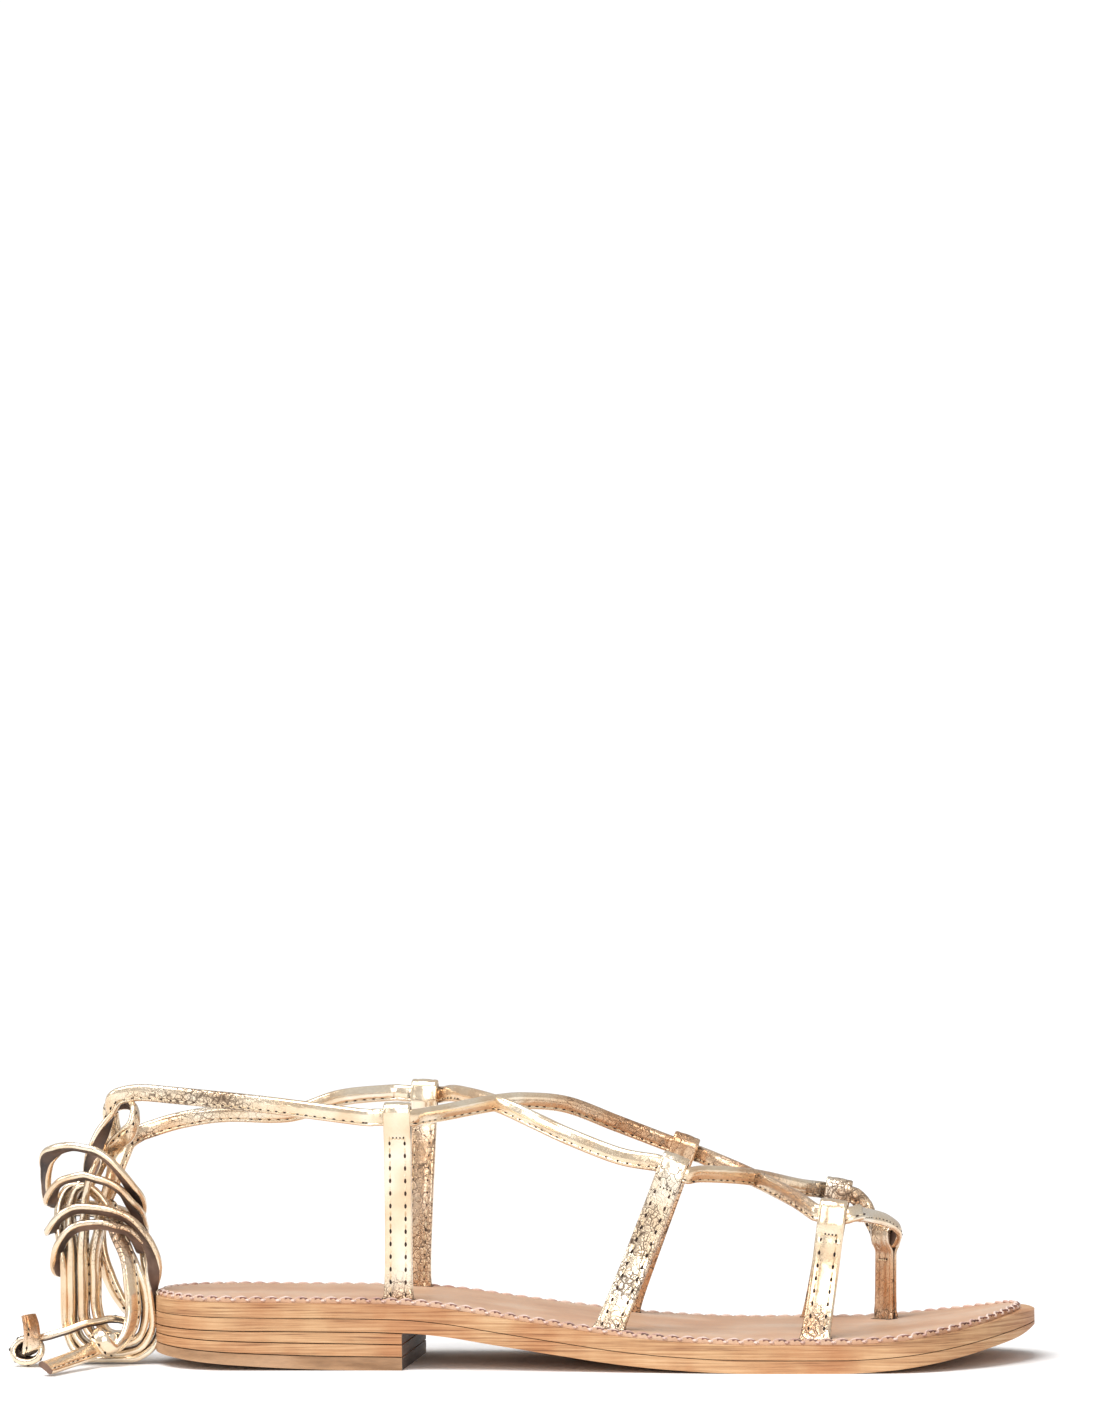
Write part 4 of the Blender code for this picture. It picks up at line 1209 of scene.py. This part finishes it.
def lace_frames(points, widths, above_floor=True, turned_over=False):
    """Frames along a lace: X out of its face, Y back along it and Z across its width. A free lace
    is kept above the floor."""
    frames = []
    for k, point in enumerate(points):
        ahead = heading(points, k)
        wide = (widths[k] - widths[k].dot(ahead) * ahead).normalized()
        face, back = wide.cross(ahead), -ahead
        if turned_over:
            face, back = -face, -back
        if above_floor:
            lowest = point.z - abs(wide.z) * LACE_WIDTH / 2 - abs(face.z) * LACE_THICKNESS / 2
            if lowest < LACE_CLEARANCE:
                point = point + Vector((0, 0, LACE_CLEARANCE - lowest))
        frames.append(seat(point, face, back, wide))
    return frames


def build_lace(name, frames, replaced):
    scaled = [frame_at @ Matrix.Diagonal((MM, MM, MM * LACE_SHOWN, 1)) for frame_at in frames]
    shape = draw_leather((LACE_FACE, LACE_BACK), scaled)
    close_ends(shape)
    lace = finish_piece(name, shape, [GOLD, EDGE], replaced, LEATHER_CREASE)
    mark_cracks_and_shade(lace.data)
    return lace


def stitch_lace(name, frames):
    """The row of stitches along one edge of a lace, with the painted shade of its awl holes."""
    shape = bmesh.new()
    travelled = 0.0
    wanted = FIRST_LACE_STITCH
    for before, frame_at in zip(frames, frames[1:]):
        travelled += (frame_at.translation - before.translation).length
        if travelled < wanted:
            continue
        wanted += STITCH_PITCH
        spot = frame_at @ Matrix.Translation(LACE_STITCH_AT)
        put_stitch(shape, spot, *LACE_STITCH, 0)
        put_stitch(shape, spot @ Matrix.Translation((0, STITCH_PITCH / 2, 0)), *LACE_HOLE, 1)
    return finish_piece(name, shape, [THREAD, HOLE_SHADE], (), THREAD_CREASE)


# Where the two laces cross: forward, and which one is nearer the outer side (+1 the first)
CROSSINGS = ((-21 * MM, -1), (53 * MM, 1))
CROSSING_GAP = 1.25 * MM
CROSSING_REACH = 11 * MM


def part_at_crossings(points, which):
    """Lead one lace over the other where they cross."""
    led = []
    for point in points:
        shift = 0.0
        for x, nearer in CROSSINGS:
            shift -= nearer * which * CROSSING_GAP * math.exp(-((point.x - x) / CROSSING_REACH) ** 2)
        led.append(point + Vector((0, shift, 0)))
    return led


route, route_widths, post_index = lacing_points()
lean_over(route, route_widths)
LACE_STEP = 1.3 * MM
# Each half goes on a little past the middle of the post, where the other begins
PAST_POST = 2
halves = (
    ("lacing_inner_start", slice(0, post_index + PAST_POST), 1),
    ("lacing_outer_start", slice(post_index, None), -1),
)
for name, part, which in halves:
    points = part_at_crossings(route[part], which)
    frames_of_half = lace_frames(*smooth_route(points, route_widths[part], LACE_STEP), False, which > 0)
    build_lace(name, frames_of_half, ("lacing",))
    stitch_lace(name + "_stitches", frames_of_half)


# The lace leaves its tunnel straight, at these millimetres past the stretch inside it
EXIT_POINTS = (-1.0, 1.5, 5.0)


def free_route(strap, rows):
    """A free run's points, from inside its ankle tunnel."""
    back = STRAP_WIDTH / 2 + LACE_PAST_TUNNEL
    points = [strap.tunnel - (back + further * MM) * strap.run for further in EXIT_POINTS]
    widths = [strap.up] * len(points)
    points += [Vector(row[:3]) * MM for row in rows]
    widths += [Vector(row[3:]) for row in rows]
    return points, widths


cords = (
    ("lace_free_lateral", "ankle_strap_lateral", LATERAL_FREE,
     ("lace_tail_lateral", "lace_bundle", "lace_end_knotted")),
    ("lace_free_medial", "ankle_strap_medial", MEDIAL_FREE, ("lace_tail_medial", "lace_end_coiled")),
)
for name, tunnel, rows, replaced in cords:
    frames_of_cord = lace_frames(*smooth_route(*free_route(straps[tunnel], rows), LACE_STEP))
    lace = build_lace(name, frames_of_cord, replaced)
    threads = stitch_lace(name + "_stitches", frames_of_cord)


# Edge stitching of the footbed: scallops of pale thread, with a dark thread inside them that is
# painted shadow under each scallop. Each starts sunk in the leather and bulges out of it
SCALLOP_PITCH = 4.3 * MM
SCALLOP_DEPTH = 1.3 * MM
SCALLOP_THREAD = 0.8 * MM
SCALLOP_STEPS = 8
SCALLOP_INSET = INSOLE_INSET - 0.1 * MM
SCALLOP_LIFT = 0.75 * MM
SCALLOP_SINK = 0.55 * MM
SCALLOP_BULGE = 0.7
SHADE_THREAD = 0.75 * MM
# The dark thread of painted shadow in a scallop: step along it, share of its depth, and height
SHADE = ((3, 0.25, -0.1 * MM), (5, 0.4, -0.05 * MM), (7, 0.15, -0.25 * MM))


# Points along each edge of the footbed before they are spread evenly
EDGE_STATIONS = 400


def edge_points(inset, step):
    """The footbed's outline at its top, once round, at even steps."""
    fine = stations(EDGE_STATIONS)
    edges = []
    for side, places in ((-1, fine), (1, list(reversed(fine)))):
        for x in places:
            shown_x = inset_x(x, inset)
            edges.append(Vector((shown_x, middle(x) + side * half_width(x, inset), insole_top(shown_x))))
    return spread_evenly(edges, step)


def round_thread(whole_shape, points, thick, sides, material):
    """A round thread along points."""
    shape = bmesh.new()
    turns = [2 * math.pi * i / sides for i in range(sides)]
    profile = [(thick / 2 * math.cos(turn), 0, thick / 2 * math.sin(turn)) for turn in turns]
    frames = []
    for k, point in enumerate(points):
        ahead = heading(points, k)
        side = ahead.cross(Vector((0, 0, 1))).normalized()
        frames.append(seat(point, side, ahead, side.cross(ahead)))
    for edges in strip(shape, profile, frames, True, material):
        for made in bmesh.ops.contextual_create(shape, geom=edges)["faces"]:
            made.material_index = material
    join_in(whole_shape, shape)


def scallop_footbed():
    shape = bmesh.new()
    around = edge_points(SCALLOP_INSET, SCALLOP_PITCH / SCALLOP_STEPS)
    for k in range(0, len(around) - SCALLOP_STEPS, SCALLOP_STEPS):
        run = around[k:k + SCALLOP_STEPS + 1]
        chord = (run[-1] - run[0]).normalized()
        inward = SCALLOP_DEPTH * Vector((0, 0, 1)).cross(chord).normalized()
        points = []
        for i, point in enumerate(run):
            rise = math.sin(math.pi * min(i / (SCALLOP_STEPS - 1), 1.0)) ** SCALLOP_BULGE
            lift = SCALLOP_LIFT * rise - SCALLOP_SINK
            points.append(point + inward * rise + Vector((0, 0, lift)))
        round_thread(shape, points, SCALLOP_THREAD, 6, 0)
        shade = [run[i] + inward * reach + Vector((0, 0, lift)) for i, reach, lift in SHADE]
        round_thread(shape, shade, SHADE_THREAD, 5, 1)
    bmesh.ops.recalc_face_normals(shape, faces=shape.faces)
    threads = [PINK_THREAD, PAINTED_SCALLOP_SHADOW]
    finish_piece("footbed_stitches", shape, threads, (), THREAD_CREASE)


scallop_footbed()


# Each slot's gap as a dark plate of painted shade: along the strap's thickness, along its width and in height
SLOT = (3.6 * MM, STRAP_WIDTH + 1.7 * MM, 0.12 * MM)
SLOT_LIFT = 0.03 * MM
SLOT_ROUND = 0.05 * MM


def slot_shade_plates():
    """Painted shade in the gap of each slot in the footbed: a dark plate round its strap."""
    shape = bmesh.new()
    for strap in straps.values():
        run = strap.run.copy()
        run.z = slope_at(strap) * run.x
        run.normalize()
        out = run.cross(Vector((0, 0, 1))).normalized()
        rise = (insole_top(strap.foot.x) + SLOT_LIFT - strap.foot.z) / strap.up.z
        place = seat(strap.foot + strap.up * rise, out, run, out.cross(run))
        bmesh.ops.create_cube(shape, size=1, matrix=place @ Matrix.Diagonal((*SLOT, 1)))
    bmesh.ops.bevel(
        shape, geom=list(shape.edges), offset=SLOT_ROUND, offset_type="OFFSET", segments=1, profile=0.5,
        affect="EDGES", material=-1,
    )
    finish_piece("footbed_slot_shade", shape, [HOLE_SHADE])


slot_shade_plates()


# The studio in metres and watts: the kind of each lamp, its place, its angle or size and its power
LAMPS = (
    ("ceiling_softbox", "SUN", (-0.35, -0.5, 1.3), math.radians(40), 2.7),
    ("front_softbox", "AREA", (0.25, -1.9, 0.75), 1.1, 13),
    ("side_softbox", "AREA", (-1.6, -0.6, 0.9), 0.7, 6),
)
LAMPS_AIM = Vector((0, 0, 0.03))
FLOOR_SIZE = 6
PAPER_FIBRES = 0.3 / MM
# White walls: their light on things, how white they are, and what more of them shows in the foil
WALL_LIGHT = 0.3
WALL_SEEN = 1.05
WALL_MIRRORED = 0.28


def studio():
    """A pale floor under soft studio light."""
    shape = bmesh.new()
    bmesh.ops.create_grid(shape, x_segments=4, y_segments=4, size=FLOOR_SIZE)
    mesh = bpy.data.meshes.new("floor")
    shape.to_mesh(mesh)
    shape.free()
    floor = bpy.data.objects.new("floor", mesh)
    bpy.context.scene.collection.objects.link(floor)
    # Matt white paper, so that the eye sees the sandal's soft shadow and nothing else on the floor
    material, tree, place = new_material("matt_white_paper")
    fibre = add_node(tree, "TexNoise", {"Vector": place, "Scale": PAPER_FIBRES, "Detail": 2})
    tone = add_node(tree, "ValToRGB", {"Fac": fibre.outputs["Fac"]})
    set_ramp(tone, ((0.3, "#FAFAFA"), (0.7, "#FFFFFF")))
    set_surface(tree, {"Base Color": tone.outputs["Color"], "Roughness": 0.9, "Specular IOR Level": 0.1})
    mesh.materials.append(material)

    world = bpy.data.worlds.new("studio_air")
    bpy.context.scene.world = world
    world.use_nodes = True
    tree = world.node_tree
    tree.nodes.clear()
    seen = add_node(tree, "LightPath")
    strength = add_node(
        tree, "MapRange",
        {"Value": seen.outputs["Is Camera Ray"], "To Min": WALL_LIGHT, "To Max": WALL_SEEN},
    )
    mirrored = add_node(
        tree, "Math",
        {0: seen.outputs["Is Glossy Ray"], 1: WALL_MIRRORED, 2: strength.outputs["Result"]},
        operation="MULTIPLY_ADD",
    )
    walls = {"Color": linear("#FFFFFF"), "Strength": mirrored.outputs["Value"]}
    sky = add_node(tree, "Background", walls)
    add_node(tree, "OutputWorld", {"Surface": sky.outputs["Background"]})

    for name, kind, place_at, size, power in LAMPS:
        data = bpy.data.lights.new(name, kind)
        data.energy = power
        if kind == "SUN":
            data.angle = size
        else:
            data.size = size
        lamp = bpy.data.objects.new(name, data)
        bpy.context.scene.collection.objects.link(lamp)
        lamp.location = place_at
        lamp.rotation_euler = (LAMPS_AIM - lamp.location).to_track_quat("-Z", "Y").to_euler()


studio()
bpy.context.scene.view_settings.view_transform = "Standard"
